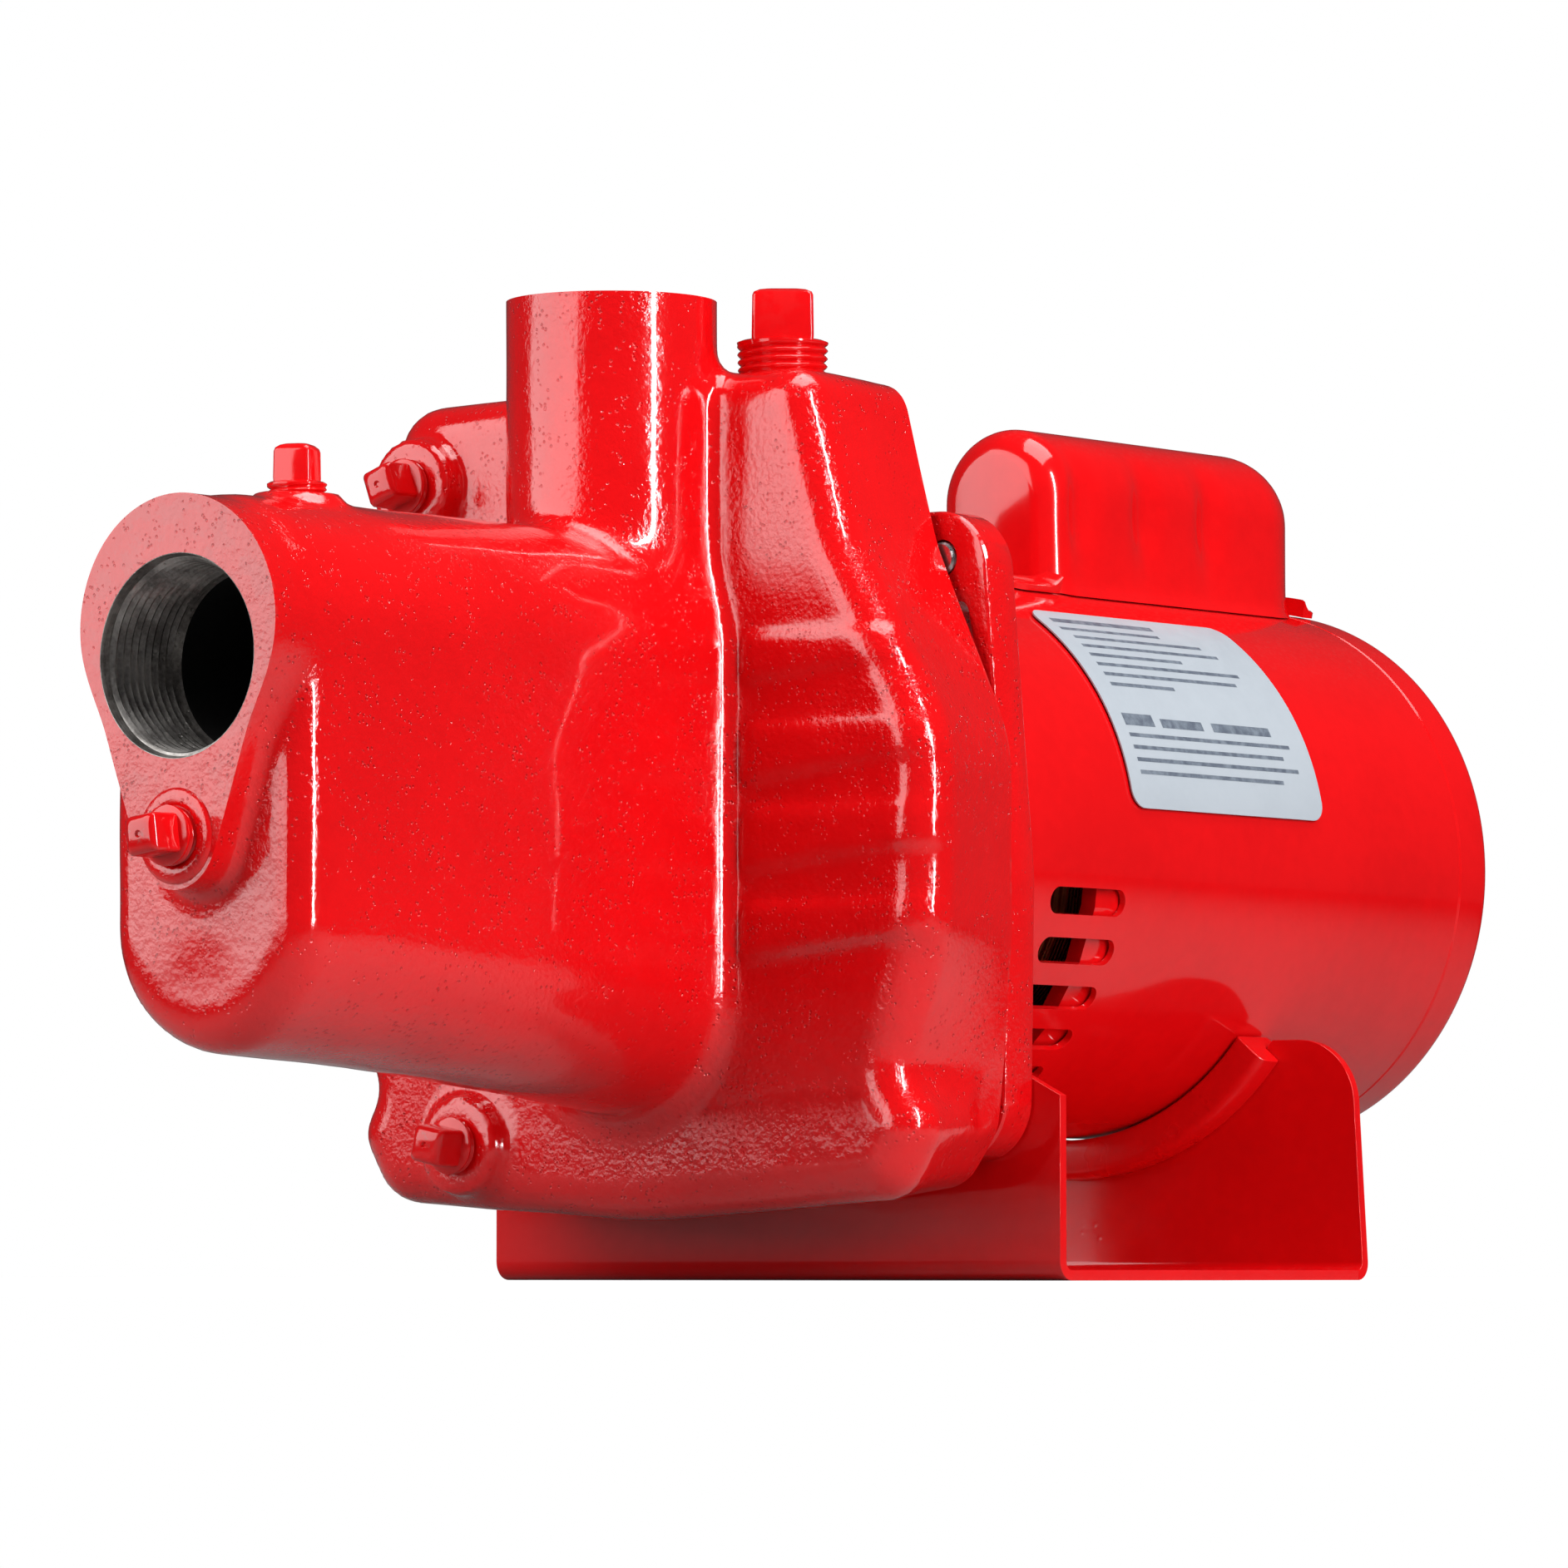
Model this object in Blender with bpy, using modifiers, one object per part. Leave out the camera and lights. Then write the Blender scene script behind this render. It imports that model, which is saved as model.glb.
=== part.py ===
"""Shallow-well jet pump with a close-coupled motor on a folded sheet-metal base.

The origin is the centre of the base plate's underside. +X runs along the shaft towards the
motor's rear, so the suction face looks along -X. +Z is up.
"""
import math

import bmesh
import bpy
from mathutils import Matrix, Vector

mm = 0.001
GAP = 0.3 * mm          # between two pieces that touch
CUT = 2.0 * mm          # how far a cutter runs past the face that it opens

# ---- driving dimensions -------------------------------------------------------------------
AXIS_Z = 100.8 * mm     # shaft centre above the base
STEPS = 28              # sides of a large turned piece
SHELL_STEPS = 48        # sides of the motor shell and its rear cover
SMALL_STEPS = 14        # sides of a small one

# base
BASE_LENGTH = 125.2 * mm
BASE_WIDTH = 166.0 * mm
SHEET = 2.4 * mm
BEND_R = 4.5 * mm
FRONT_ROUND_Y = 51.0 * mm    # where the front flange's top meets the motor's round
FRONT_ROUND_Z = AXIS_Z - 42.8 * mm
FRONT_WING_FALL = 0.5        # slope of the front flange's top, down towards its ends
REAR_WING_Z = AXIS_Z - 43.3 * mm      # height of the rear flange's shoulders
REAR_SHOULDER_Y = 80.5 * mm
REAR_SHOULDER_R = 16.0 * mm
BASE_SLOT = (11.0 * mm, 20.0 * mm)
BASE_SLOT_AT = (38.0 * mm, 66.0 * mm)

# motor
SHELL_R = 66.4 * mm
SHELL_WALL = 1.6 * mm
SHELL_X = (-59.4 * mm, 128.0 * mm)
COVER_END_X = 142.1 * mm
COVER_END_R = 64.6 * mm
COVER_WALL = 2.0 * mm
INLET_R = 11.0 * mm          # conduit opening in the rear cover
INLET_AT = (30.0 * mm, AXIS_Z - 30.8 * mm)
REAR_SCREW_Y = 46.0 * mm
VENT_X = (-41.5 * mm, -12.0 * mm)
VENT_WIDTH = 6.4 * mm
VENT_FIRST = -11.5           # degrees above the horizontal
VENT_PITCH = -10.3
VENT_COUNT = 5
STATOR_X = (4.0 * mm, 66.0 * mm)
STATOR_BORE_R = 37.0 * mm
AIR_GAP = 0.8 * mm
WINDING_REACH = 18.0 * mm
WINDING_R = (39.0 * mm, 52.0 * mm)
BELL_WINDOW = (-4.0, -58.0)        # degrees above the horizontal
BELL_RIM_END = -11.0 * mm
BELL_WALL = 4.0 * mm
THROUGH_BOLT_R = 2.4 * mm
THROUGH_BOLT_CIRCLE = 57.5 * mm
SHAFT_R = 8.5 * mm
BEARING_R = 20.0 * mm
BEARING_WIDTH = 12.0 * mm
BEARING_WALL = 3.4 * mm      # radial thickness of each bearing ring
FRONT_BEARING_X = -56.0 * mm
REAR_BEARING_X = 112.0 * mm
FAN_R = 50.0 * mm
FAN_HUB_R = 18.0 * mm
FAN_WIDTH = 9.0 * mm
FAN_BLADES = 8

# centrifugal start switch
GOVERNOR_R = 17.0 * mm
GOVERNOR_WIDTH = 7.5 * mm
GOVERNOR_TRAVEL = 3.0 * mm
LEVER_THICKNESS = 1.5 * mm
LEVER_HALF = 4.0 * mm
LEVER_REACH = (11.0 * mm, 46.0 * mm)   # from the shaft
LEVER_PIVOT = 44.0 * mm

# saddle trim
SADDLE_R = (SHELL_R + 0.5 * mm, SHELL_R + 10.1 * mm)
SADDLE_HALF_ANGLE = 51.0
SADDLE_WIDTH = 13.0 * mm

# capacitor cover
CAP_COVER_X = (24.0 * mm, 137.0 * mm)
CAP_COVER_HALF = 18.0 * mm
CAP_COVER_TOP = AXIS_Z + 105.2 * mm
CAP_COVER_WALL = 1.5 * mm
CAP_COVER_TAB = (16.0 * mm, 4.0 * mm)      # front and rear
CAP_COVER_TAB_ANGLE = 16.0
TAB_THICKNESS = 1.8 * mm
SMALL_SCREW_R = 2.0 * mm
CAPACITOR_R = 15.0 * mm
CAPACITOR_X = (38.0 * mm, 116.0 * mm)

# label
LABEL_X = (-10.2 * mm, 68.5 * mm)
LABEL_ANGLES = (8.0, 58.4)
LABEL_THICKNESS = 0.4 * mm

# adapter plate between casing and motor
PLATE_THICKNESS = 10.8 * mm
PLATE_BORE_R = SHAFT_R + 8.5 * mm
# corners of the plate's +Y half: sideways, above the shaft, corner radius, in mm
PLATE_CORNERS = ((69.5, 74.7, 14.0), (76.5, -8.8, 60.0), (75.5, -73.8, 14.0))
PLATE_SLOT = ((-63.0, 51.2), (-67.5, 30.2))   # ends of the slot on the -Y side, in mm
PLATE_SLOT_R = 2.6 * mm

# casing
JOINT_X = -75.4 * mm         # rear face of the casing
FACE_X = -116.0 * mm         # front face of the casing
# the rounded front edge: depth behind the face in mm, and share of the full outline
CASING_EDGE = ((0.0, 0.90), (1.5, 0.945), (4.5, 0.98), (10.0, 1.0), (24.0, 1.0))
BOWL_R = 64.0 * mm
BOWL_X = -107.0 * mm
GASKET = 1.0 * mm
BOLT_AT = (58.0 * mm, 63.8 * mm)    # sideways and up or down from the shaft
BOLT_R = 4.0 * mm
BOLT_HEX = 13.0 * mm
BOLT_HEAD = 5.3 * mm

# suction arm
SUCTION_X = -270.0 * mm
SUCTION_Z = AXIS_Z + 32.9 * mm
SUCTION_MOUTH_R = 22.0 * mm
SUCTION_BORE_R = 18.5 * mm
SUCTION_THREAD = 20.0 * mm
PAD_THICKNESS = 8.5 * mm
PAD_R = 27.0 * mm
PAD_CENTRE_Z = AXIS_Z + 39.9 * mm
PAD_TOE_R = 11.5 * mm
PAD_TOE_Z = AXIS_Z - 5.8 * mm
ARM_HALF = 28.5 * mm
ARM_TOP_Z = AXIS_Z + 68.7 * mm
# the arm's underside: place along the shaft and height above it, in mm
ARM_FLOOR = ((-262.0, -51.8), (-210.0, -54.3), (-162.0, -58.8), (-112.0, -64.3))
ARM_ROUND = 8.0 * mm

# discharge riser
RISER_X = -122.0 * mm
RISER_LENGTH = 93.0 * mm
RISER_R = 24.1 * mm
RISER_TOP = AXIS_Z + 122.2 * mm
WINDOW_Z = (AXIS_Z + 77.2 * mm, AXIS_Z + 93.2 * mm)   # from the riser to the casing
RISER_MOUTH_R = 16.7 * mm
RISER_BORE_R = 14.5 * mm

# jet
JET_BORE_R = 11.0 * mm
JET_GAP_X = -222.0 * mm
NOZZLE_LENGTH = 22.0 * mm
NOZZLE_HOLE_R = 3.5 * mm
THROAT_R = 5.0 * mm
DRIVE_PASSAGE_Z = AXIS_Z - 28.8 * mm
DRIVE_PASSAGE_R = 9.0 * mm

# wet end
IMPELLER_R = 50.0 * mm
IMPELLER_EYE_R = 13.5 * mm
IMPELLER_X = (-97.0 * mm, -81.5 * mm)
IMPELLER_SHROUD = 2.0 * mm
HUB_R = 13.0 * mm
VANES = 6
DIFFUSER_R = 61.0 * mm
DIFFUSER_WALL = 3.0 * mm

# pipe plugs: thread radius, thread length, head width, head height
QUARTER_PLUG = (6.85 * mm, 9.0 * mm, 8.6 * mm, 8.6 * mm)
HALF_PLUG = (10.6 * mm, 12.0 * mm, 14.2 * mm, 12.0 * mm)
PLUG_SHOWS = 2.5 * mm
HALF_PLUG_SHOWS = 7.0 * mm

# outlines of the casing's two ends: sideways, above the shaft, corner radius, in mm
CASING_FRONT_OUTLINE = (
    (-49, 106.2, 9), (-60, 67.2, 40), (-86, 21.2, 40), (-85, -22.8, 30), (-75, -54.8, 9),
    (-83, -65.8, 9), (-74, -82.8, 12), (0, -87.8, 200), (75, -82.8, 12), (84, -66.8, 9),
    (79, -56.8, 8), (86, -34.8, 25), (87, 21.2, 40), (78, 67.2, 30), (71, 103.2, 12))
CASING_REAR_OUTLINE = (
    (-48, 105.2, 9), (-58, 67.2, 40), (-79, 21.2, 40), (-79, -22.8, 30), (-77, -50.8, 9),
    (-75, -66.8, 9), (-66, -79.8, 12), (0, -84.8, 200), (68, -79.8, 12), (77, -66.8, 9),
    (78, -54.8, 8), (80, -34.8, 25), (82, 21.2, 40), (75, 67.2, 30), (69, 102.2, 12))

PUMP_RED = (0.62, 0.003, 0.006)
BARE_STEEL = (0.55, 0.55, 0.56)


# ---- collections and materials ------------------------------------------------------------
def clear_scene():
    for old in list(bpy.data.objects):
        bpy.data.objects.remove(old, do_unlink=True)


def collection(name):
    made = bpy.data.collections.new(name)
    bpy.context.scene.collection.children.link(made)
    return made


def material(name, colour, roughness, metallic=0.0):
    made = bpy.data.materials.new(name)
    made.use_nodes = True
    shader = made.node_tree.nodes["Principled BSDF"]
    shader.inputs["Base Color"].default_value = (*colour, 1.0)
    shader.inputs["Roughness"].default_value = roughness
    shader.inputs["Metallic"].default_value = metallic
    return made


clear_scene()
PARTS = collection("jet_pump")
CUTTERS = collection("jet_pump_cutters")


def finish(obj, colour=PUMP_RED, roughness=0.3, metallic=0.0):
    """Puts an object among the parts, with a material of its own."""
    for home in list(obj.users_collection):
        home.objects.unlink(obj)
    PARTS.objects.link(obj)
    obj.data.materials.clear()
    obj.data.materials.append(material(obj.name, colour, roughness, metallic))
    return obj


def guide(obj):
    """Makes an object a cutter or a piece to join, which isn't part of the pump."""
    for home in list(obj.users_collection):
        home.objects.unlink(obj)
    CUTTERS.objects.link(obj)
    obj.hide_render = True
    obj.display_type = "WIRE"
    return obj


# ---- shapes -------------------------------------------------------------------------------
def new_object(name, mesh):
    obj = bpy.data.objects.new(name, mesh)
    bpy.context.scene.collection.objects.link(obj)
    return obj


def arc(centre, radius, start, end, steps):
    """Points on an arc, with its angles in degrees."""
    angles = [math.radians(start + (end - start) * i / steps) for i in range(steps + 1)]
    return [(centre[0] + radius * math.cos(a), centre[1] + radius * math.sin(a)) for a in angles]


def rounded(corners, steps=4):
    """An outline whose corners (x, y, radius) are rounded off."""
    points = []
    for i, (x, y, radius) in enumerate(corners):
        here = Vector((x, y))
        before = Vector(corners[i - 1][:2]) - here
        after = Vector(corners[(i + 1) % len(corners)][:2]) - here
        half = before.angle(after) / 2
        reach = min(radius / math.tan(half), before.length / 2.05, after.length / 2.05)
        radius = reach * math.tan(half)
        middle = here + (before.normalized() + after.normalized()).normalized() * (
            radius / math.sin(half))
        first = here + before.normalized() * reach - middle
        last = here + after.normalized() * reach - middle
        turn = first.angle_signed(last)
        for k in range(steps + 1):
            spoke = first.copy()
            spoke.rotate(Matrix.Rotation(-turn * k / steps, 2))
            points.append(tuple(middle + spoke))
    return points


def stadium(bottom, top, bottom_r, top_r, steps=8):
    """A keyhole outline about the vertical: a small circle at the bottom, a large one on top."""
    lean = math.degrees(math.asin((top_r - bottom_r) / (top - bottom)))
    return (arc((0, top), top_r, -lean, 180 + lean, steps)
            + arc((0, bottom), bottom_r, 180 + lean, 360 - lean, steps))


def from_shaft(corners):
    """Corners given in mm from the shaft, as (Y, Z, radius) in metres."""
    return [(y * mm, AXIS_Z + z * mm, r * mm) for y, z, r in corners]


def turned(name, profile, centre=(0.0, AXIS_Z), steps=STEPS):
    """A solid turned about a line along X. The profile is a list of (x, radius)."""
    area = sum(a[1] * b[0] - b[1] * a[0] for a, b in zip(profile, profile[1:] + profile[:1]))
    if area > 0:
        profile = profile[::-1]
    on_axis = [i for i, p in enumerate(profile) if p[1] == 0]
    if on_axis:
        while not (profile[0][1] == 0 and profile[-1][1] == 0):
            profile = profile[1:] + profile[:1]
    edges = [(i, i + 1) for i in range(len(profile) - 1)]
    if not on_axis:
        edges.append((len(profile) - 1, 0))
    mesh = bpy.data.meshes.new(name)
    mesh.from_pydata([(r, 0.0, x) for x, r in profile], edges, [])
    obj = new_object(name, mesh)
    obj.rotation_euler = (0, math.pi / 2, 0)
    obj.location = (0, centre[0], centre[1])
    screw = obj.modifiers.new("turn", "SCREW")
    screw.axis = "Z"
    screw.angle = 2 * math.pi
    screw.steps = steps
    screw.render_steps = steps
    screw.use_merge_vertices = True
    screw.merge_threshold = 0.00001
    return obj


def ring(name, x0, x1, inner, outer, **place):
    return turned(name, [(x0, inner), (x1, inner), (x1, outer), (x0, outer)], **place)


def cylinder(name, radius, start, end, steps=SMALL_STEPS, end_radius=None):
    """A round bar, or a cone, between two points."""
    start = Vector(start)
    run = Vector(end) - start
    mesh = bpy.data.meshes.new(name)
    bm = bmesh.new()
    bmesh.ops.create_cone(bm, cap_ends=True, segments=steps, radius1=radius,
                          radius2=radius if end_radius is None else end_radius,
                          depth=run.length)
    place = Matrix.Translation(start + run / 2) @ run.to_track_quat("Z", "Y").to_matrix().to_4x4()
    bmesh.ops.transform(bm, matrix=place, verts=bm.verts)
    bm.to_mesh(mesh)
    bm.free()
    return new_object(name, mesh)


def box(name, low, high):
    mesh = bpy.data.meshes.new(name)
    bm = bmesh.new()
    bmesh.ops.create_cube(bm, size=1.0)
    middle = (Vector(low) + Vector(high)) / 2
    size = Vector(high) - Vector(low)
    bmesh.ops.transform(bm, verts=bm.verts,
                        matrix=Matrix.Translation(middle) @ Matrix.Diagonal((*size, 1.0)))
    bm.to_mesh(mesh)
    bm.free()
    return new_object(name, mesh)


def plate(name, outline, low, high, along="X"):
    """A flat piece cut to an outline: (Y, Z) along X, (X, Z) along Y or (X, Y) along Z."""
    curve = bpy.data.curves.new(name, "CURVE")
    curve.dimensions = "2D"
    curve.fill_mode = "BOTH"
    curve.extrude = (high - low) / 2
    spline = curve.splines.new("POLY")
    spline.points.add(len(outline) - 1)
    for point, (x, y) in zip(spline.points, outline):
        point.co = (x, y, 0, 1)
    spline.use_cyclic_u = True
    flat = new_object(name + "_outline", curve)
    mesh = bpy.data.meshes.new_from_object(
        flat.evaluated_get(bpy.context.evaluated_depsgraph_get()))
    bpy.data.objects.remove(flat)
    axes = {"X": ((0, 1, 0), (0, 0, 1), (1, 0, 0)),
            "Y": ((1, 0, 0), (0, 0, 1), (0, -1, 0)),
            "Z": ((1, 0, 0), (0, 1, 0), (0, 0, 1))}[along]
    middle = (high + low) / 2 * Vector([abs(v) for v in axes[2]])
    bm = bmesh.new()
    bm.from_mesh(mesh)
    bmesh.ops.remove_doubles(bm, verts=bm.verts, dist=0.000001)
    bmesh.ops.transform(bm, verts=bm.verts, matrix=Matrix.Translation(middle)
                        @ Matrix(axes).transposed().to_4x4())
    bmesh.ops.recalc_face_normals(bm, faces=bm.faces)
    bm.to_mesh(mesh)
    bm.free()
    mesh.name = name
    return new_object(name, mesh)


def loft(name, sections):
    """A solid through closed sections (x, outline), whose outlines hold equally many points."""
    mesh = bpy.data.meshes.new(name)
    bm = bmesh.new()
    loops = [[bm.verts.new((x, y, z)) for y, z in outline] for x, outline in sections]
    for one, two in zip(loops, loops[1:]):
        for i in range(len(one)):
            j = (i + 1) % len(one)
            bm.faces.new((one[i], one[j], two[j], two[i]))
    bm.faces.new(loops[0])
    bm.faces.new(loops[-1])
    bmesh.ops.recalc_face_normals(bm, faces=bm.faces)
    bm.to_mesh(mesh)
    bm.free()
    return new_object(name, mesh)


def shrunk(outline, centre, factor):
    return [(centre[0] + (y - centre[0]) * factor, centre[1] + (z - centre[1]) * factor)
            for y, z in outline]


def combine(obj, operation, *others):
    for other in others:
        guide(other)
        step = obj.modifiers.new(other.name, "BOOLEAN")
        step.operation = operation
        step.object = other
    return obj


def join(obj, *others):
    return combine(obj, "UNION", *others)


def cut(obj, *others):
    return combine(obj, "DIFFERENCE", *others)


def smooth(obj, angle=35):
    obj.data.shade_smooth()
    obj.data.set_sharp_from_angle(angle=math.radians(angle))
    return obj


def around(angle, radius, x=0.0):
    """A point on a circle round the shaft, at an angle above the horizontal on the -Y side."""
    turn = math.radians(angle)
    return Vector((x, -radius * math.cos(turn), AXIS_Z + radius * math.sin(turn)))


def ring_slice(first, last, inner, outer, steps=8):
    """The outline of a piece of a ring round the shaft, between two angles in degrees."""
    angles = [first + (last - first) * i / steps for i in range(steps + 1)]
    return [tuple(around(a, outer).yz) for a in angles] + [
        tuple(around(a, inner).yz) for a in angles[::-1]]


# ---- fasteners ----------------------------------------------------------------------------
def hex_bolt(name, head_at, tip_at, radius, across, head, colour=BARE_STEEL):
    """A hexagon bolt. Its head's underside is at head_at and its shank runs to tip_at."""
    away = (Vector(head_at) - Vector(tip_at)).normalized()
    bolt = cylinder(name, radius, tip_at, Vector(head_at) + away * head / 2, steps=14)
    corner_r = across / math.sqrt(3)
    join(bolt, cylinder(name + "_head", corner_r, head_at, Vector(head_at) + away * head, steps=6))
    return finish(bolt, colour, 0.35, 1.0)


def pipe_plug(name, mouth, away, size, shows):
    """A square-head pipe plug in a hole whose mouth is given. Its thread stands out by shows."""
    radius, length, width, height = size
    mouth = Vector(mouth)
    away = Vector(away)
    thread = cylinder(name, radius - GAP, mouth - away * (length - shows), mouth + away * shows,
                      steps=14)
    head = cylinder(name + "_head", width / math.sqrt(2), mouth + away * (shows - 1.0 * mm),
                    mouth + away * (shows + height), steps=4)
    join(thread, head)
    return finish(thread)


def plug_hole(name, mouth, away, size, depth):
    mouth = Vector(mouth)
    away = Vector(away)
    return cylinder(name, size[0], mouth + away * CUT, mouth - away * depth, steps=14)


# ---- places shared by the casing and what fits in it --------------------------------------
DISCHARGE_ROOM = ((BOWL_X, -34 * mm, AXIS_Z + 49.2 * mm),
                  (-85.0 * mm, 50 * mm, AXIS_Z + 95.2 * mm))
PRIMING_AT = (-97.0 * mm, -30.0 * mm, AXIS_Z + 106.2 * mm)
GAUGE_BOSS = (FACE_X - 6.5 * mm, 60.5 * mm, AXIS_Z + 83.2 * mm)
DRAIN_BOSS = (FACE_X - 4.5 * mm, 47.5 * mm, AXIS_Z - 69.8 * mm)
BOSS_R = 11.5 * mm
TOE_BOSS_R = PAD_TOE_R - 1.2 * mm
ARM_BOSS_R = 9.5 * mm
FRONT_PLUG_AT = (SUCTION_X - 1.0 * mm, 0.0, PAD_TOE_Z)
ARM_PLUG_AT = (-231.0 * mm, 0.0, ARM_TOP_Z + 1.5 * mm)
MINUS_X = (-1, 0, 0)
UP = (0, 0, 1)
PLATE_FRONT = JOINT_X + GAP + GASKET + GAP
PLATE_REAR = PLATE_FRONT + PLATE_THICKNESS
FLANGE_X = PLATE_REAR + GAP           # front face of the base's front flange
REAR_FLANGE_X = FLANGE_X + BASE_LENGTH
BELL_X = PLATE_REAR + GAP
VENTURI_START = JET_GAP_X + 3.0 * mm
VENTURI_END = BOWL_X + 1.5 * mm
NOZZLE_X = (JET_GAP_X - NOZZLE_LENGTH, JET_GAP_X)


def bolt_centres():
    """Sideways place and height of each casing bolt: top near, top far, low near, low far."""
    across, up = BOLT_AT
    return [(side * across, AXIS_Z + level * up) for level in (1, -1) for side in (-1, 1)]


# ---- wet end ------------------------------------------------------------------------------
def casing():
    front = rounded(from_shaft(CASING_FRONT_OUTLINE), steps=2)
    rear = rounded(from_shaft(CASING_REAR_OUTLINE), steps=2)
    middle = (0.0, AXIS_Z + 5.2 * mm)
    sections = [(FACE_X + depth * mm, shrunk(front, middle, size))
                for depth, size in CASING_EDGE]
    body = loft("pump_casing", sections + [(JOINT_X, rear)])

    def arm_section(x, inset):
        floor = AXIS_Z + mm * next(z0 + (z1 - z0) * (x / mm - x0) / (x1 - x0)
                                   for (x0, z0), (x1, z1) in zip(ARM_FLOOR, ARM_FLOOR[1:])
                                   if x / mm <= x1 or x1 == ARM_FLOOR[-1][0])
        r = ARM_HALF - inset
        return x, stadium(floor + ARM_HALF, ARM_TOP_Z - ARM_HALF, r, r)

    start = SUCTION_X + PAD_THICKNESS
    arm = loft("suction_arm", [
        arm_section(start - 1.0 * mm, ARM_ROUND), arm_section(start, ARM_ROUND),
        arm_section(start + 0.3 * ARM_ROUND, 0.3 * ARM_ROUND),
        arm_section(start + ARM_ROUND, 0.0), arm_section(ARM_FLOOR[1][0] * mm, 0.0),
        arm_section(ARM_FLOOR[2][0] * mm, 0.0), arm_section(FACE_X + 5 * mm, 0.0)])
    pad_outline = stadium(PAD_TOE_Z, PAD_CENTRE_Z, PAD_TOE_R, PAD_R)
    pad = plate("suction_pad", pad_outline, SUCTION_X, SUCTION_X + PAD_THICKNESS + 3 * mm)
    riser = cylinder("discharge_riser", RISER_R, (RISER_X, 0, RISER_TOP - RISER_LENGTH),
                     (RISER_X, 0, RISER_TOP), steps=24)
    gauge = cylinder("gauge_boss", BOSS_R, (FACE_X + 6 * mm, *GAUGE_BOSS[1:]), GAUGE_BOSS)
    drain = cylinder("drain_boss", BOSS_R, (FACE_X + 6 * mm, *DRAIN_BOSS[1:]), DRAIN_BOSS)
    toe = cylinder("front_plug_boss", TOE_BOSS_R, (SUCTION_X + 4 * mm, 0, PAD_TOE_Z),
                   FRONT_PLUG_AT)
    arm_boss = cylinder("arm_plug_boss", ARM_BOSS_R, (ARM_PLUG_AT[0], 0, ARM_TOP_Z - 8 * mm),
                        ARM_PLUG_AT)
    join(body, arm, pad, riser, gauge, drain, toe, arm_boss)

    bowl = turned("bowl", [(BOWL_X, 0), (BOWL_X, BOWL_R), (JOINT_X + CUT, BOWL_R),
                           (JOINT_X + CUT, 0)])
    room = box("discharge_room", *DISCHARGE_ROOM)
    mouth = cylinder("suction_mouth", SUCTION_MOUTH_R, (SUCTION_X - CUT, 0, SUCTION_Z),
                     (SUCTION_X + SUCTION_THREAD, 0, SUCTION_Z), steps=24,
                     end_radius=SUCTION_MOUTH_R - 1.0 * mm)
    bore = cylinder("suction_bore", SUCTION_BORE_R, (SUCTION_X + CUT, 0, SUCTION_Z),
                    (JET_GAP_X + 22 * mm, 0, SUCTION_Z), steps=20)
    drop = cylinder("suction_drop", 8.0 * mm, (JET_GAP_X + 1 * mm, 0, SUCTION_Z - 8 * mm),
                    (JET_GAP_X + 1 * mm, 0, AXIS_Z - 3 * mm))
    jet = cylinder("jet_bore", JET_BORE_R, (NOZZLE_X[0] - 12 * mm, 0, AXIS_Z),
                   (BOWL_X + CUT, 0, AXIS_Z), steps=24)
    drive = cylinder("drive_passage", DRIVE_PASSAGE_R, (NOZZLE_X[0] - 6 * mm, 0, DRIVE_PASSAGE_Z),
                     (BOWL_X + CUT, 0, DRIVE_PASSAGE_Z))
    lift = cylinder("drive_lift", 6.0 * mm, (NOZZLE_X[0] - 6 * mm, 0, DRIVE_PASSAGE_Z + 2 * mm),
                    (NOZZLE_X[0] - 6 * mm, 0, AXIS_Z - 4 * mm))
    top = cylinder("discharge_mouth", RISER_MOUTH_R, (RISER_X, 0, RISER_TOP + CUT),
                   (RISER_X, 0, RISER_TOP - 20 * mm), steps=20,
                   end_radius=RISER_MOUTH_R - 0.8 * mm)
    down = cylinder("discharge_bore", RISER_BORE_R, (RISER_X, 0, RISER_TOP - CUT),
                    (RISER_X, 0, WINDOW_Z[0] - 2 * mm), steps=20)
    window = box("discharge_window", (RISER_X, -10 * mm, WINDOW_Z[0]),
                 (BOWL_X + CUT, 10 * mm, WINDOW_Z[1]))
    priming = plug_hole("priming_hole", PRIMING_AT, UP, HALF_PLUG, 16 * mm)
    gauge_hole = plug_hole("gauge_hole", GAUGE_BOSS, MINUS_X, QUARTER_PLUG, 14 * mm)
    gauge_way = cylinder("gauge_way", 3 * mm, (BOWL_X + 6 * mm, 40 * mm, GAUGE_BOSS[2]),
                         (GAUGE_BOSS[0] + 12 * mm, *GAUGE_BOSS[1:]), steps=12)
    drain_hole = plug_hole("drain_hole", DRAIN_BOSS, MINUS_X, QUARTER_PLUG, 16 * mm)
    drain_way = cylinder("drain_way", 3.5 * mm, (BOWL_X + 7 * mm, 30 * mm, AXIS_Z - 48.8 * mm),
                         (DRAIN_BOSS[0] + 13 * mm, *DRAIN_BOSS[1:]), steps=12)
    front_hole = plug_hole("front_plug_hole", FRONT_PLUG_AT, MINUS_X, QUARTER_PLUG, 18 * mm)
    arm_hole = plug_hole("arm_plug_hole", ARM_PLUG_AT, UP, QUARTER_PLUG, 22 * mm)
    cut(body, bowl, room, mouth, bore, drop, jet, drive, lift, top, down, window, priming,
        gauge_hole, gauge_way, drain_hole, drain_way, front_hole, arm_hole)
    for i, (y, z) in enumerate(bolt_centres()):
        cut(body, cylinder(f"casing_bolt_hole_{i}", BOLT_R + GAP, (JOINT_X + CUT, y, z),
                           (JOINT_X - 14 * mm, y, z), steps=14))
    return finish(smooth(body), PUMP_RED, 0.3)


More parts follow.
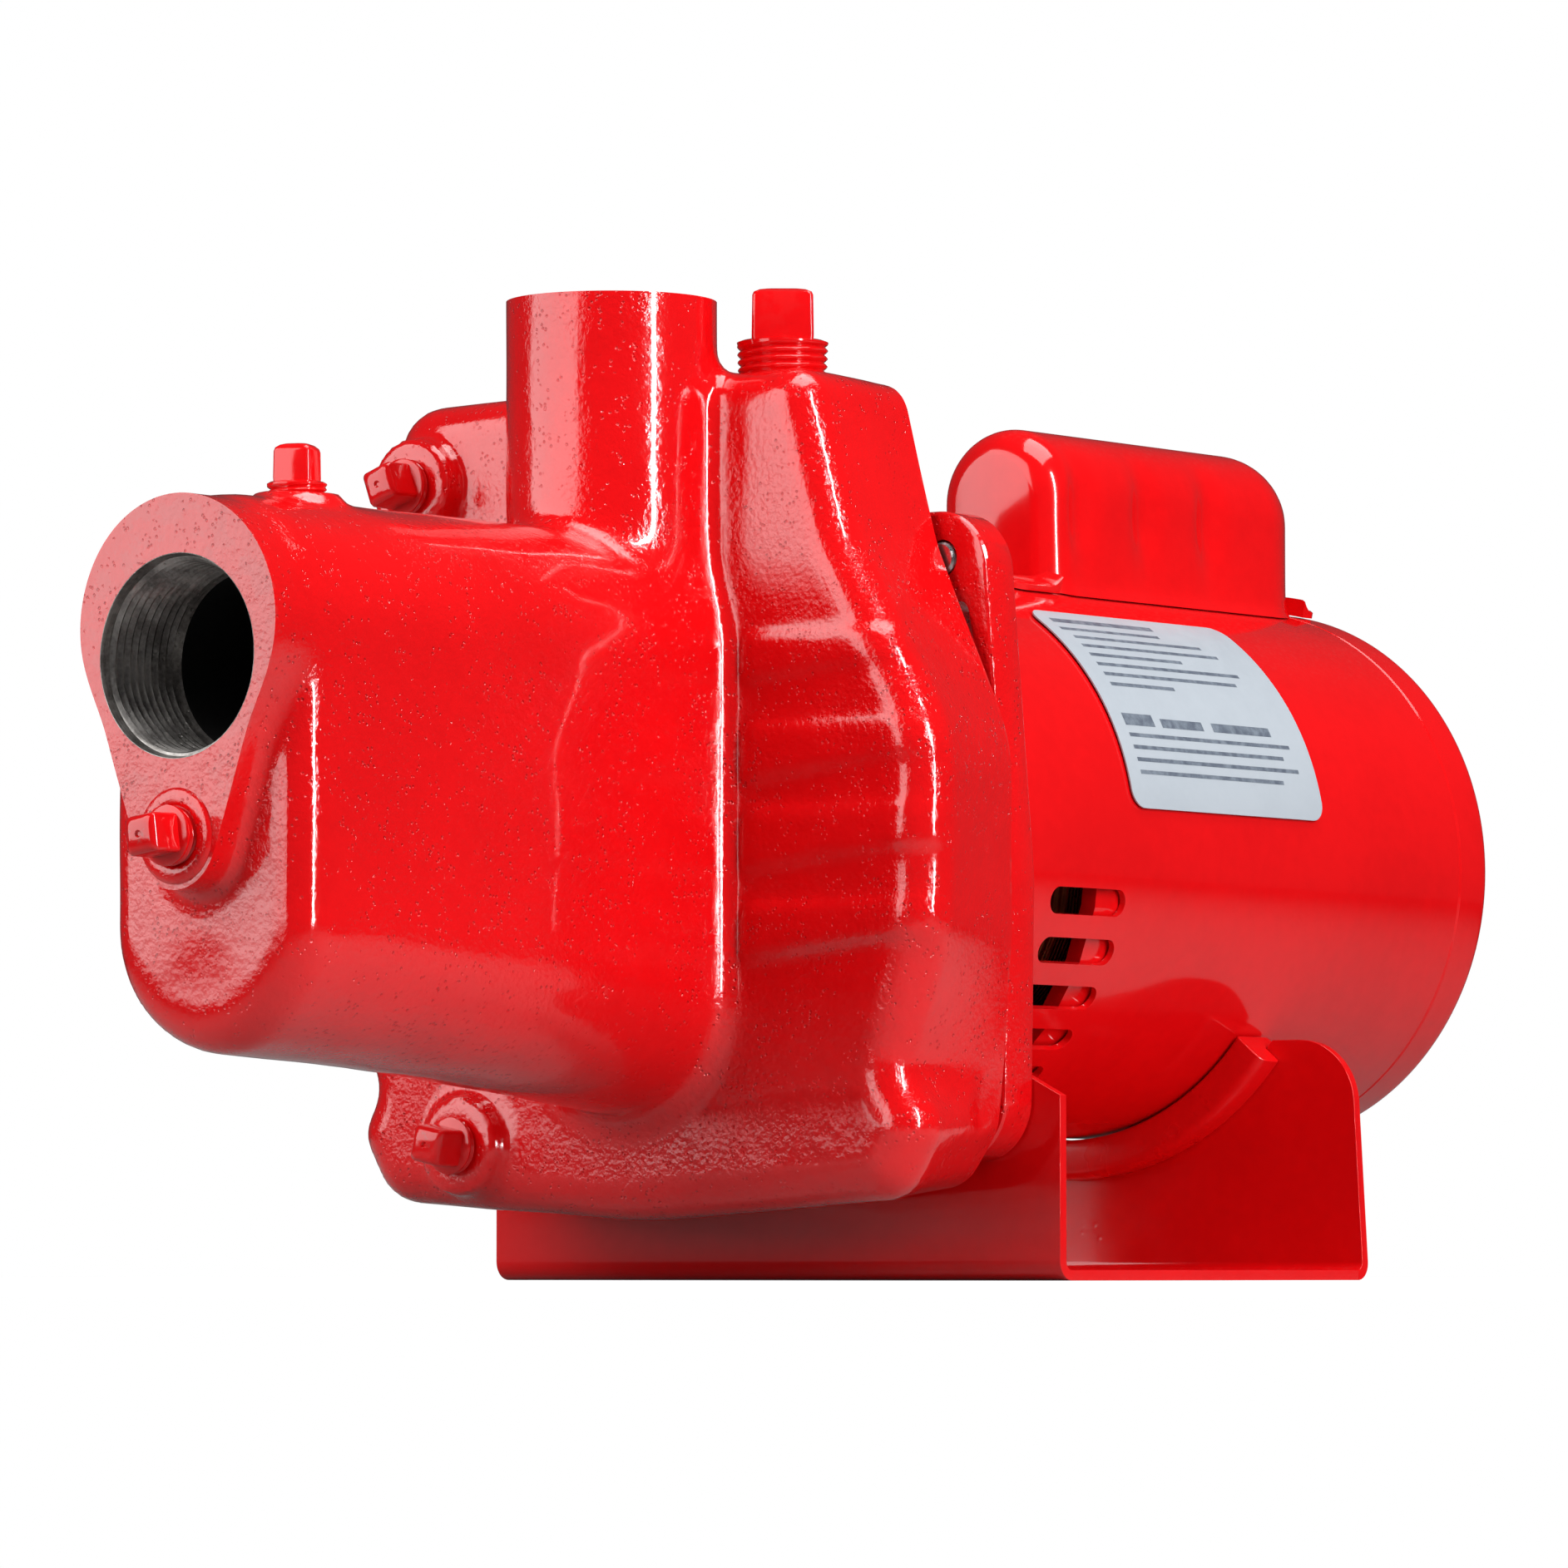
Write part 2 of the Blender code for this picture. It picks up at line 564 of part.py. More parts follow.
def plugs():
    pipe_plug("front_gauge_plug", FRONT_PLUG_AT, MINUS_X, QUARTER_PLUG, PLUG_SHOWS)
    pipe_plug("arm_top_plug", ARM_PLUG_AT, UP, QUARTER_PLUG, PLUG_SHOWS)
    pipe_plug("casing_gauge_plug", GAUGE_BOSS, MINUS_X, QUARTER_PLUG, PLUG_SHOWS)
    pipe_plug("drain_plug", DRAIN_BOSS, MINUS_X, QUARTER_PLUG, PLUG_SHOWS)
    pipe_plug("priming_plug", PRIMING_AT, UP, HALF_PLUG, HALF_PLUG_SHOWS)


def jet_parts():
    """Nozzle, its O-ring and the venturi tube, in line in the arm's lower bore."""
    start, tip = NOZZLE_X
    body_r = JET_BORE_R - GAP
    groove = start + 7 * mm
    ring_r = 1.2 * mm
    nozzle = turned("nozzle", [
        (start, 6 * mm), (start, body_r), (groove - ring_r - GAP, body_r),
        (groove - ring_r - GAP, body_r - 2 * ring_r - GAP),
        (groove + ring_r + GAP, body_r - 2 * ring_r - GAP), (groove + ring_r + GAP, body_r),
        (start + 12 * mm, body_r), (start + 12 * mm, 8 * mm), (tip, 5.5 * mm),
        (tip, NOZZLE_HOLE_R)], steps=24)
    finish(nozzle, (0.55, 0.42, 0.2), 0.35, 1.0)
    seat_r = body_r - ring_r
    o_ring = turned("nozzle_o_ring", arc((groove, seat_r), ring_r * 0.95, 0, 315, 7), steps=24)
    finish(o_ring, (0.02, 0.02, 0.02), 0.6)
    throat_x = VENTURI_START + 22 * mm
    venturi = turned("venturi", [
        (VENTURI_START, 8.5 * mm), (throat_x, THROAT_R), (throat_x + 12 * mm, THROAT_R),
        (VENTURI_END, 8.0 * mm), (VENTURI_END, body_r), (VENTURI_START, body_r)], steps=24)
    finish(venturi, (0.03, 0.03, 0.035), 0.5)


def diffuser():
    """A cup between the venturi's outlet and the impeller, with slots round its rim."""
    back = BOWL_X + 2.2 * mm
    rim_end = JOINT_X - 1.0 * mm
    wall = DIFFUSER_WALL
    eye = JET_BORE_R + GAP
    cup = turned("diffuser", [
        (back, eye), (back, DIFFUSER_R), (rim_end, DIFFUSER_R), (rim_end, DIFFUSER_R - wall),
        (back + wall, DIFFUSER_R - wall), (back + wall, eye)])
    for i in range(VANES):
        side = around(60 * i + 30, DIFFUSER_R - wall / 2)
        reach = around(60 * i + 30, DIFFUSER_R + 6 * mm) - side
        slot_x = (back + wall + rim_end) / 2
        side.x = slot_x
        cut(cup, cylinder(f"diffuser_slot_{i}", 6.5 * mm, side - reach, side + reach, steps=12))
    return finish(smooth(cup), (0.03, 0.03, 0.035), 0.5)


def impeller():
    """A closed impeller: two shrouds joined by curved vanes, on a hub that seats on the shaft."""
    front, rear = IMPELLER_X
    shroud = IMPELLER_SHROUD
    shaft_r = SHAFT_R - 1.5 * mm + GAP
    hub_end = rear + 5.0 * mm
    rear_disc = turned("impeller", [
        (front + 5 * mm, shaft_r), (hub_end, shaft_r), (hub_end, HUB_R), (rear, HUB_R),
        (rear, IMPELLER_R), (rear - shroud, IMPELLER_R), (rear - shroud, 11 * mm),
        (front + 5 * mm, 10 * mm)])
    front_disc = turned("impeller_front_shroud", [
        (front, IMPELLER_EYE_R), (front, IMPELLER_EYE_R + shroud), (front + 3 * mm, 18 * mm),
        (rear - 9 * mm, IMPELLER_R), (rear - 9 * mm + shroud, IMPELLER_R),
        (front + 3 * mm + shroud, 17 * mm), (front + 4 * mm, IMPELLER_EYE_R)])
    join(rear_disc, front_disc)
    eye_r = 17.5 * mm
    for i in range(VANES):
        leading, trailing = [], []
        for k in range(5):
            radius = eye_r + (IMPELLER_R - 1 * mm - eye_r) * k / 4
            angle = math.radians(360 / VANES * i + 75 * k / 4)
            for side, turn in ((leading, angle), (trailing, angle + 3 * mm / radius)):
                side.append((radius * math.cos(turn), AXIS_Z + radius * math.sin(turn)))
        join(rear_disc, plate(f"impeller_vane_{i}", leading + trailing[::-1],
                              rear - 9 * mm + shroud / 2, rear - shroud / 2))
    return finish(smooth(rear_disc), (0.03, 0.03, 0.035), 0.5)


def shaft_seal():
    """Mechanical seal: a ring seated in the adapter plate, and a sprung head on the shaft."""
    seat_r = PLATE_BORE_R - GAP
    cup = turned("seal_cup", [
        (PLATE_FRONT + 1 * mm, seat_r - 1.5 * mm), (PLATE_FRONT + 1 * mm, seat_r),
        (PLATE_FRONT + 8 * mm, seat_r), (PLATE_FRONT + 8 * mm, SHAFT_R + 2.5 * mm),
        (PLATE_FRONT + 6.5 * mm, SHAFT_R + 2.5 * mm), (PLATE_FRONT + 6.5 * mm, seat_r - 1.5 * mm)],
        steps=24)
    finish(cup, (0.02, 0.02, 0.02), 0.6)
    seat = ring("seal_seat", PLATE_FRONT + 0.4 * mm, PLATE_FRONT + 6.5 * mm - GAP,
                SHAFT_R + 2.0 * mm, seat_r - 1.5 * mm - GAP, steps=24)
    finish(seat, (0.85, 0.84, 0.8), 0.25)


# ---- rotating parts -----------------------------------------------------------------------
def shaft():
    front_step = IMPELLER_X[1] + 5.3 * mm
    end = REAR_BEARING_X + BEARING_WIDTH + 2 * mm
    small = SHAFT_R - 1.5 * mm
    bar = turned("shaft", [
        (IMPELLER_X[0] + 2 * mm, 0), (IMPELLER_X[0] + 2 * mm, small), (front_step, small),
        (front_step, SHAFT_R - GAP), (end, SHAFT_R - GAP), (end, 0)], steps=20)
    return finish(smooth(bar), (0.6, 0.6, 0.62), 0.25, 1.0)


def rotor_core():
    inner = SHAFT_R
    outer = STATOR_BORE_R - AIR_GAP
    front, rear = STATOR_X
    core = turned("rotor_core", [
        (front - 9 * mm, outer - 9 * mm), (front - 9 * mm, outer - 2 * mm),
        (front, outer - 2 * mm), (front, outer), (rear, outer), (rear, outer - 2 * mm),
        (rear + 9 * mm, outer - 2 * mm), (rear + 9 * mm, outer - 9 * mm),
        (rear, outer - 9 * mm), (rear, inner), (front, inner), (front, outer - 9 * mm)])
    return finish(smooth(core), (0.35, 0.35, 0.36), 0.4, 1.0)


def seal_head():
    """The seal's sprung ring, and its spring round the impeller's hub."""
    face = PLATE_FRONT + 0.4 * mm - GAP
    back = face - 2.2 * mm
    head = ring("seal_head", back, face, SHAFT_R, SHAFT_R + 7.5 * mm, steps=24)
    finish(head, (0.05, 0.05, 0.055), 0.35)
    wire = 0.7 * mm
    start = IMPELLER_X[1] + wire + GAP
    end = back - wire - GAP
    turns, sides = 2, 10
    curve = bpy.data.curves.new("seal_spring", "CURVE")
    curve.dimensions = "3D"
    curve.bevel_depth = wire
    curve.bevel_resolution = 1
    curve.use_fill_caps = True
    spline = curve.splines.new("POLY")
    count = turns * sides
    spline.points.add(count)
    for i, point in enumerate(spline.points):
        turn = 2 * math.pi * i / sides
        coil_r = HUB_R + wire + GAP * 2
        point.co = (start + (end - start) * i / count, coil_r * math.cos(turn),
                    AXIS_Z + coil_r * math.sin(turn), 1)
    finish(new_object("seal_spring", curve), BARE_STEEL, 0.3, 1.0)


def slinger():
    start = BELL_X + 1.3 * mm
    disc = ring("slinger", start, start + 2 * mm, SHAFT_R, SHAFT_R + 8 * mm, steps=24)
    return finish(disc, (0.02, 0.02, 0.02), 0.7)


def fan_start():
    return STATOR_X[1] + WINDING_REACH + 4 * mm


def cooling_fan():
    """A moulded fan behind the rotor: a hub and straight blades."""
    start = fan_start()
    end = start + FAN_WIDTH
    fan = ring("cooling_fan", start, end, SHAFT_R, FAN_HUB_R, steps=24)
    for i in range(FAN_BLADES):
        blade = box(f"fan_blade_{i}", (start + 1 * mm, -FAN_R, -1 * mm),
                    (end - 1 * mm, 1 * mm - FAN_HUB_R, 1 * mm))
        turn = Matrix.Rotation(math.radians(360 / FAN_BLADES * i + 10), 4, "X")
        blade.data.transform(Matrix.Translation((0, 0, AXIS_Z)) @ turn)
        join(fan, blade)
    return finish(fan, (0.05, 0.05, 0.055), 0.5)


def governor_end():
    return fan_start() + FAN_WIDTH + GAP + GOVERNOR_TRAVEL + GAP + GOVERNOR_WIDTH


def governor():
    """The spool of the centrifugal switch, which slides along the shaft."""
    end = governor_end()
    start = end - GOVERNOR_WIDTH
    waist = GOVERNOR_R - 4 * mm
    spool = turned("governor", [
        (start, SHAFT_R), (start, GOVERNOR_R), (start + 1.5 * mm, GOVERNOR_R),
        (start + 1.5 * mm, waist), (end - 1.5 * mm, waist), (end - 1.5 * mm, GOVERNOR_R),
        (end, GOVERNOR_R), (end, SHAFT_R)], steps=24)
    return finish(spool, (0.5, 0.36, 0.1), 0.5)


def bearing(name, start):
    """A deep-groove bearing as its two rings."""
    outer = ring(name + "_outer_ring", start, start + BEARING_WIDTH, BEARING_R - BEARING_WALL,
                 BEARING_R, steps=24)
    finish(outer, BARE_STEEL, 0.25, 1.0)
    inner = ring(name + "_inner_ring", start, start + BEARING_WIDTH, SHAFT_R,
                 SHAFT_R + BEARING_WALL, steps=24)
    finish(inner, BARE_STEEL, 0.25, 1.0)


# ---- motor --------------------------------------------------------------------------------
def motor_shell():
    inner = SHELL_R - SHELL_WALL
    shell = ring("motor_shell", SHELL_X[0], SHELL_X[1], inner, SHELL_R, steps=SHELL_STEPS)
    for side in (-1, 1):
        for i in range(VENT_COUNT):
            angle = VENT_FIRST + VENT_PITCH * i
            outline = arc((VENT_X[0] + VENT_WIDTH / 2, 0), VENT_WIDTH / 2, 90, 270, 6)
            outline += arc((VENT_X[1] - VENT_WIDTH / 2, 0), VENT_WIDTH / 2, -90, 90, 6)
            slot = plate(f"vent_{side}_{i}", outline, -(SHELL_R + CUT), -(inner - CUT), along="Y")
            slot.data.transform(Matrix.Rotation(math.radians(-angle), 4, "X"))
            if side > 0:
                slot.data.transform(Matrix.Scale(-1, 4, (0, 1, 0)))
                slot.data.flip_normals()
            slot.data.transform(Matrix.Translation((0, 0, AXIS_Z)))
            cut(shell, slot)
    wire_x = CAP_COVER_X[1] - 18 * mm
    for name, radius, x in (("wire_hole", 5 * mm, wire_x),
                            ("screw_hole", SMALL_SCREW_R + GAP, cover_screw_x())):
        cut(shell, cylinder(name, radius, (x, 0, AXIS_Z + inner - CUT),
                            (x, 0, AXIS_Z + SHELL_R + CUT), steps=12))
    return finish(smooth(shell), PUMP_RED, 0.2)


def end_bells():
    """Cast bells at both ends of the shell, each with a bearing housing in its middle."""
    spigot = SHELL_R - SHELL_WALL - GAP
    web = 5 * mm
    housing = BEARING_R + GAP
    front_end = BELL_RIM_END
    front = turned("front_end_bell", [
        (BELL_X + 0.5 * mm, SHAFT_R + 9.6 * mm), (BELL_X + 0.5 * mm, spigot - 3 * mm),
        (SHELL_X[0], spigot), (front_end, spigot), (front_end, spigot - BELL_WALL),
        (BELL_X + web, spigot - BELL_WALL), (BELL_X + web, housing + 4 * mm),
        (FRONT_BEARING_X + BEARING_WIDTH, housing + 4 * mm),
        (FRONT_BEARING_X + BEARING_WIDTH, housing), (FRONT_BEARING_X - GAP, housing),
        (FRONT_BEARING_X - GAP, SHAFT_R + 9.6 * mm)])
    rear_start = REAR_BEARING_X + 4 * mm
    rear_end = SHELL_X[1] - 1 * mm
    rear = turned("rear_end_bell", [
        (rear_start, spigot - 4 * mm), (rear_start, spigot), (rear_end, spigot),
        (rear_end, 12 * mm), (REAR_BEARING_X + BEARING_WIDTH + GAP, 12 * mm),
        (REAR_BEARING_X + BEARING_WIDTH + GAP, housing), (REAR_BEARING_X, housing),
        (REAR_BEARING_X, housing + 4 * mm), (rear_end - 4 * mm, housing + 4 * mm),
        (rear_end - 4 * mm, spigot - 4 * mm)])
    for side, (first, last) in enumerate((BELL_WINDOW, (180 - BELL_WINDOW[0],
                                                        180 - BELL_WINDOW[1]))):
        window = ring_slice(first, last, spigot - BELL_WALL - CUT, spigot + CUT)
        cut(front, plate(f"bell_window_{side}", window, VENT_X[0] - 2 * mm, VENT_X[1] - 9 * mm))
    for angle in (45, 135, 225, 315):
        for bell in (front, rear):
            place = around(angle, THROUGH_BOLT_CIRCLE)
            hole = cylinder(f"{bell.name}_bolt_hole_{angle}", THROUGH_BOLT_R + GAP,
                            place + Vector((BELL_X - CUT, 0, 0)),
                            place + Vector((COVER_END_X, 0, 0)), steps=10)
            cut(bell, hole)
    finish(smooth(front), PUMP_RED, 0.35)
    finish(smooth(rear), (0.5, 0.5, 0.51), 0.45, 1.0)


def stator():
    inner = SHELL_R - SHELL_WALL
    front, rear = STATOR_X
    core = ring("stator_core", front, rear, STATOR_BORE_R, inner - GAP, steps=STEPS)
    for angle in (45, 135, 225, 315):
        place = around(angle, THROUGH_BOLT_CIRCLE)
        cut(core, cylinder(f"stator_notch_{angle}", THROUGH_BOLT_R + 1 * mm,
                           place + Vector((front - CUT, 0, 0)),
                           place + Vector((rear + CUT, 0, 0)), steps=10))
    finish(smooth(core), (0.3, 0.3, 0.32), 0.45, 1.0)
    for name, low, high in (("winding_front", front - GAP - WINDING_REACH, front - GAP),
                            ("winding_rear", rear + GAP, rear + GAP + WINDING_REACH)):
        middle = ((low + high) / 2, sum(WINDING_R) / 2)
        half_x = (high - low) / 2
        half_r = (WINDING_R[1] - WINDING_R[0]) / 2
        bundle = [(middle[0] + half_x * math.cos(math.radians(a)),
                   middle[1] + half_r * math.sin(math.radians(a))) for a in range(0, 360, 45)]
        finish(turned(name, bundle, steps=20), (0.4, 0.13, 0.05), 0.35, 1.0)


def through_bolts():
    for i, angle in enumerate((45, 135, 225, 315)):
        place = around(angle, THROUGH_BOLT_CIRCLE)
        tip = place + Vector((BELL_X + 2 * mm, 0, 0))
        head = place + Vector((SHELL_X[1] - 1 * mm + GAP, 0, 0))
        hex_bolt(f"through_bolt_{i + 1}", head, tip, THROUGH_BOLT_R, 8 * mm, 3.5 * mm)


def rear_cover():
    """The pressed cover that closes the rear, over the wiring and the start switch."""
    start = SHELL_X[1] + GAP
    bend = SHELL_R - COVER_END_R
    wall = COVER_WALL
    cup = turned("rear_cover", [
        (start, SHELL_R - wall), (start, SHELL_R), (COVER_END_X - 4 * mm, SHELL_R),
        (COVER_END_X - 1.2 * mm, SHELL_R - bend * 0.45), (COVER_END_X, COVER_END_R - bend),
        (COVER_END_X, 0), (COVER_END_X - wall, 0),
        (COVER_END_X - wall, SHELL_R - bend - wall)], steps=SHELL_STEPS)
    bush_r = INLET_R + GAP
    cut(cup, cylinder("inlet_hole", bush_r, (COVER_END_X - 8 * mm, *INLET_AT),
                      (COVER_END_X + CUT, *INLET_AT), steps=20))
    for i, side in enumerate((-1, 1)):
        at = (side * REAR_SCREW_Y, AXIS_Z)
        cut(cup, cylinder(f"rear_screw_hole_{i}", SMALL_SCREW_R + GAP,
                          (COVER_END_X - 8 * mm, *at), (COVER_END_X + CUT, *at), steps=12))
        hex_bolt(f"rear_cover_screw_{i + 1}", (COVER_END_X + GAP, *at),
                 (SHELL_X[1] - 1 * mm + GAP, *at), SMALL_SCREW_R, 7 * mm, 2.8 * mm)
    finish(smooth(cup), PUMP_RED, 0.2)
    bush = turned("inlet_bushing", [
        (COVER_END_X - wall - 3 * mm, INLET_R - 3 * mm), (COVER_END_X, INLET_R - 3 * mm),
        (COVER_END_X, INLET_R), (COVER_END_X - wall - GAP, INLET_R),
        (COVER_END_X - wall - GAP, INLET_R + 2 * mm),
        (COVER_END_X - wall - 3 * mm, INLET_R + 2 * mm)], centre=INLET_AT, steps=20)
    finish(bush, (0.02, 0.02, 0.02), 0.5)


def switch_parts():
    """The terminal board outside the rear bell, the start switch inside it and its lever."""
    start = SHELL_X[1] - 1 * mm + GAP
    board = box("terminal_board", (start, -24 * mm, AXIS_Z - 18 * mm),
                (start + 2 * mm, 24 * mm, AXIS_Z + 30 * mm))
    finish(board, (0.1, 0.07, 0.04), 0.6)
    lever_x = governor_end() + GAP
    low, high = LEVER_REACH
    lever = box("start_switch_lever", (lever_x, -LEVER_HALF, AXIS_Z + low),
                (lever_x + LEVER_THICKNESS, LEVER_HALF, AXIS_Z + high))
    finish(lever, (0.5, 0.36, 0.1), 0.5)
    switch_x = lever_x + LEVER_THICKNESS + 1 * mm
    switch = box("start_switch", (switch_x, -10 * mm, AXIS_Z + LEVER_PIVOT - 6 * mm),
                 (switch_x + 10 * mm, 10 * mm, AXIS_Z + LEVER_PIVOT + 8 * mm))
    finish(switch, (0.03, 0.03, 0.035), 0.5)


def label():
    """A thin label wrapped round the shell's near side."""
    inner = SHELL_R + GAP
    outer = inner + LABEL_THICKNESS
    tag = plate("label", ring_slice(*LABEL_ANGLES, inner, outer), *LABEL_X)
    return finish(smooth(tag), (0.75, 0.78, 0.8), 0.35)


# ---- capacitor ----------------------------------------------------------------------------
def cap_cover_outline(inset):
    half = CAP_COVER_HALF - inset
    foot = AXIS_Z + math.sqrt(SHELL_R ** 2 - CAP_COVER_HALF ** 2) - 3 * mm
    centre = (0.0, CAP_COVER_TOP - CAP_COVER_HALF)
    return [(half, foot)] + arc(centre, half, 0, 180, 12) + [(-half, foot)]


def capacitor_cover():
    """A pressed cover with rounded ends and a tab at each end, open below."""
    front, rear = CAP_COVER_X
    round_front = 8 * mm
    round_rear = 18 * mm
    wall = CAP_COVER_WALL

    def body(name, inset):
        ends = [(front + inset, round_front - inset, 1), (rear - inset, round_rear - inset, -1)]
        sections = []
        for x, r, way in ends:
            part = [(x + way * r * (1 - math.cos(math.radians(a))),
                     cap_cover_outline(inset + r * (1 - math.sin(math.radians(a)))))
                    for a in (8, 30, 60, 90)]
            sections += part if way > 0 else part[::-1]
        return loft(name, sections)

    cover = body("capacitor_cover", 0.0)
    tab_low = SHELL_R + GAP
    strip = ring_slice(90 - CAP_COVER_TAB_ANGLE, 90 + CAP_COVER_TAB_ANGLE, tab_low - 1 * mm,
                       tab_low + TAB_THICKNESS)
    join(cover, plate("cover_tabs", strip, front - CAP_COVER_TAB[0], rear + CAP_COVER_TAB[1]))
    hollow = body("cover_hollow", wall)
    hollow.data.transform(Matrix.Translation((0, 0, -1 * mm)))
    shell = cylinder("cover_seat", SHELL_R + GAP, (front - 40 * mm, 0, AXIS_Z),
                     (rear + 40 * mm, 0, AXIS_Z), steps=SHELL_STEPS)
    x = cover_screw_x()
    top = AXIS_Z + tab_low + TAB_THICKNESS
    cut(cover, hollow, shell, cylinder("cover_screw_hole", SMALL_SCREW_R + GAP,
                                       (x, 0, top + CUT), (x, 0, top - 8 * mm), steps=12))
    hex_bolt("cover_screw", (x, 0, top + GAP), (x, 0, AXIS_Z + SHELL_R - SHELL_WALL + GAP),
             SMALL_SCREW_R, 7 * mm, 2.8 * mm, PUMP_RED)
    return finish(smooth(cover), PUMP_RED, 0.2)


def cover_screw_x():
    return CAP_COVER_X[0] - CAP_COVER_TAB[0] / 2


def capacitor():
    z = AXIS_Z + SHELL_R + GAP + 1.6 * mm + CAPACITOR_R
    can = turned("capacitor", [
        (CAPACITOR_X[0], 0), (CAPACITOR_X[0], CAPACITOR_R - 1 * mm),
        (CAPACITOR_X[0] + 1 * mm, CAPACITOR_R), (CAPACITOR_X[1], CAPACITOR_R),
        (CAPACITOR_X[1], CAPACITOR_R - 3 * mm), (CAPACITOR_X[1] + 3 * mm, CAPACITOR_R - 3 * mm),
        (CAPACITOR_X[1] + 3 * mm, 0)], centre=(0.0, z), steps=24)
    finish(smooth(can), (0.04, 0.04, 0.045), 0.4)
    middle = sum(CAPACITOR_X) / 2
    inner = CAPACITOR_R + GAP
    clip = ring("capacitor_clip", middle - 6 * mm, middle + 6 * mm, inner, inner + 0.7 * mm,
                centre=(0.0, z), steps=24)
    finish(clip, BARE_STEEL, 0.35, 1.0)


# ---- base ---------------------------------------------------------------------------------
def base_bracket():
    """One sheet folded up at both ends, each flange cut to the motor's round."""
    x0, x1 = FLANGE_X, REAR_FLANGE_X
    top = REAR_WING_Z + 20 * mm
    half = SHEET / 2
    inner = BEND_R - half
    path = ([(x0 + half, top)] + arc((x0 + BEND_R, BEND_R), inner, 180, 270, 4)
            + arc((x1 - BEND_R, BEND_R), inner, 270, 360, 4) + [(x1 - half, top)])
    mesh = bpy.data.meshes.new("base_bracket")
    side = BASE_WIDTH / 2
    rows = [[(x, y, z) for x, z in path] for y in (-side, side)]
    count = len(path)
    faces = [(i, i + 1, count + i + 1, count + i) for i in range(count - 1)]
    mesh.from_pydata(rows[0] + rows[1], [], faces)
    bracket = new_object("base_bracket", mesh)
    fold = bracket.modifiers.new("sheet", "SOLIDIFY")
    fold.thickness = SHEET
    fold.offset = 0.0

    saddle_r = SADDLE_R[0] + 4.6 * mm
    above = top + CUT
    wing_y = side + CUT
    front_arc_r = SHELL_R + 0.8 * mm
    meet = FRONT_ROUND_Y
    wing_end = FRONT_ROUND_Z - FRONT_WING_FALL * (wing_y - meet)
    low = math.degrees(math.acos(meet / front_arc_r))
    bite = arc((0, AXIS_Z), front_arc_r, 180 + low, 360 - low, 20)
    front_cut = [(-wing_y, above), (-wing_y, wing_end), (-meet, FRONT_ROUND_Z)] + bite[1:-1] + [
        (meet, FRONT_ROUND_Z), (wing_y, wing_end), (wing_y, above)]
    cut(bracket, plate("front_flange_cut", front_cut, x0 - CUT, x0 + SHEET + CUT + 3 * mm))
    across = math.sqrt(saddle_r ** 2 - (AXIS_Z - REAR_WING_Z) ** 2)
    low = math.degrees(math.acos(across / saddle_r))
    bite = arc((0, AXIS_Z), saddle_r, 180 + low, 360 - low, 20)
    shoulder = (REAR_SHOULDER_Y - REAR_SHOULDER_R, REAR_WING_Z - REAR_SHOULDER_R)
    turn = REAR_SHOULDER_R
    left = arc((-shoulder[0], shoulder[1]), turn, 180, 90, 5)
    right = arc(shoulder, turn, 90, 0, 5)
    rear_cut = ([(-wing_y, above), (-wing_y, -CUT), (-side, -CUT), (-side, 0)] + left + bite
                + right + [(side, 0), (side, -CUT), (wing_y, -CUT), (wing_y, above)])
    cut(bracket, plate("rear_flange_cut", rear_cut, x1 - SHEET - CUT, x1 + CUT))
    for y, z in bolt_centres()[2:]:
        cut(bracket, cylinder(f"flange_hole_{y:.3f}", BOLT_R + GAP, (x0 - CUT, y, z),
                              (x0 + SHEET + CUT, y, z), steps=14))
    slot_w, slot_l = BASE_SLOT
    for sx in (-1, 1):
        for sy in (-1, 1):
            x, y = sx * BASE_SLOT_AT[0], sy * BASE_SLOT_AT[1]
            run = (slot_l - slot_w) / 2
            outline = (arc((x + run, y), slot_w / 2, -90, 90, 6)
                       + arc((x - run, y), slot_w / 2, 90, 270, 6))
            cut(bracket, plate(f"base_slot_{sx}_{sy}", outline, -CUT, SHEET + CUT, along="Z"))
    return finish(bracket, PUMP_RED, 0.25)


def saddle_strip():
    """An edge trim that grips the rear flange and carries the shell."""
    inner, outer = SADDLE_R
    middle = REAR_FLANGE_X - SHEET / 2
    x0 = middle - SADDLE_WIDTH / 2 - 2.5 * mm
    x1 = middle + 4 * mm
    low = 270 - SADDLE_HALF_ANGLE
    high = 270 + SADDLE_HALF_ANGLE
    steps = 20
    outline = arc((0, AXIS_Z), outer, low, high, steps) + arc((0, AXIS_Z), inner, high, low, steps)
    strip = plate("saddle_strip", outline, x0, x1)
    groove_r = inner + 4.6 * mm - GAP
    groove = (arc((0, AXIS_Z), outer + CUT, low - 4, high + 4, steps)
              + arc((0, AXIS_Z), groove_r, high + 4, low - 4, steps))
    cut(strip, plate("saddle_groove", groove, REAR_FLANGE_X - SHEET - GAP, REAR_FLANGE_X + GAP))
    return finish(smooth(strip), (0.45, 0.003, 0.005), 0.4)


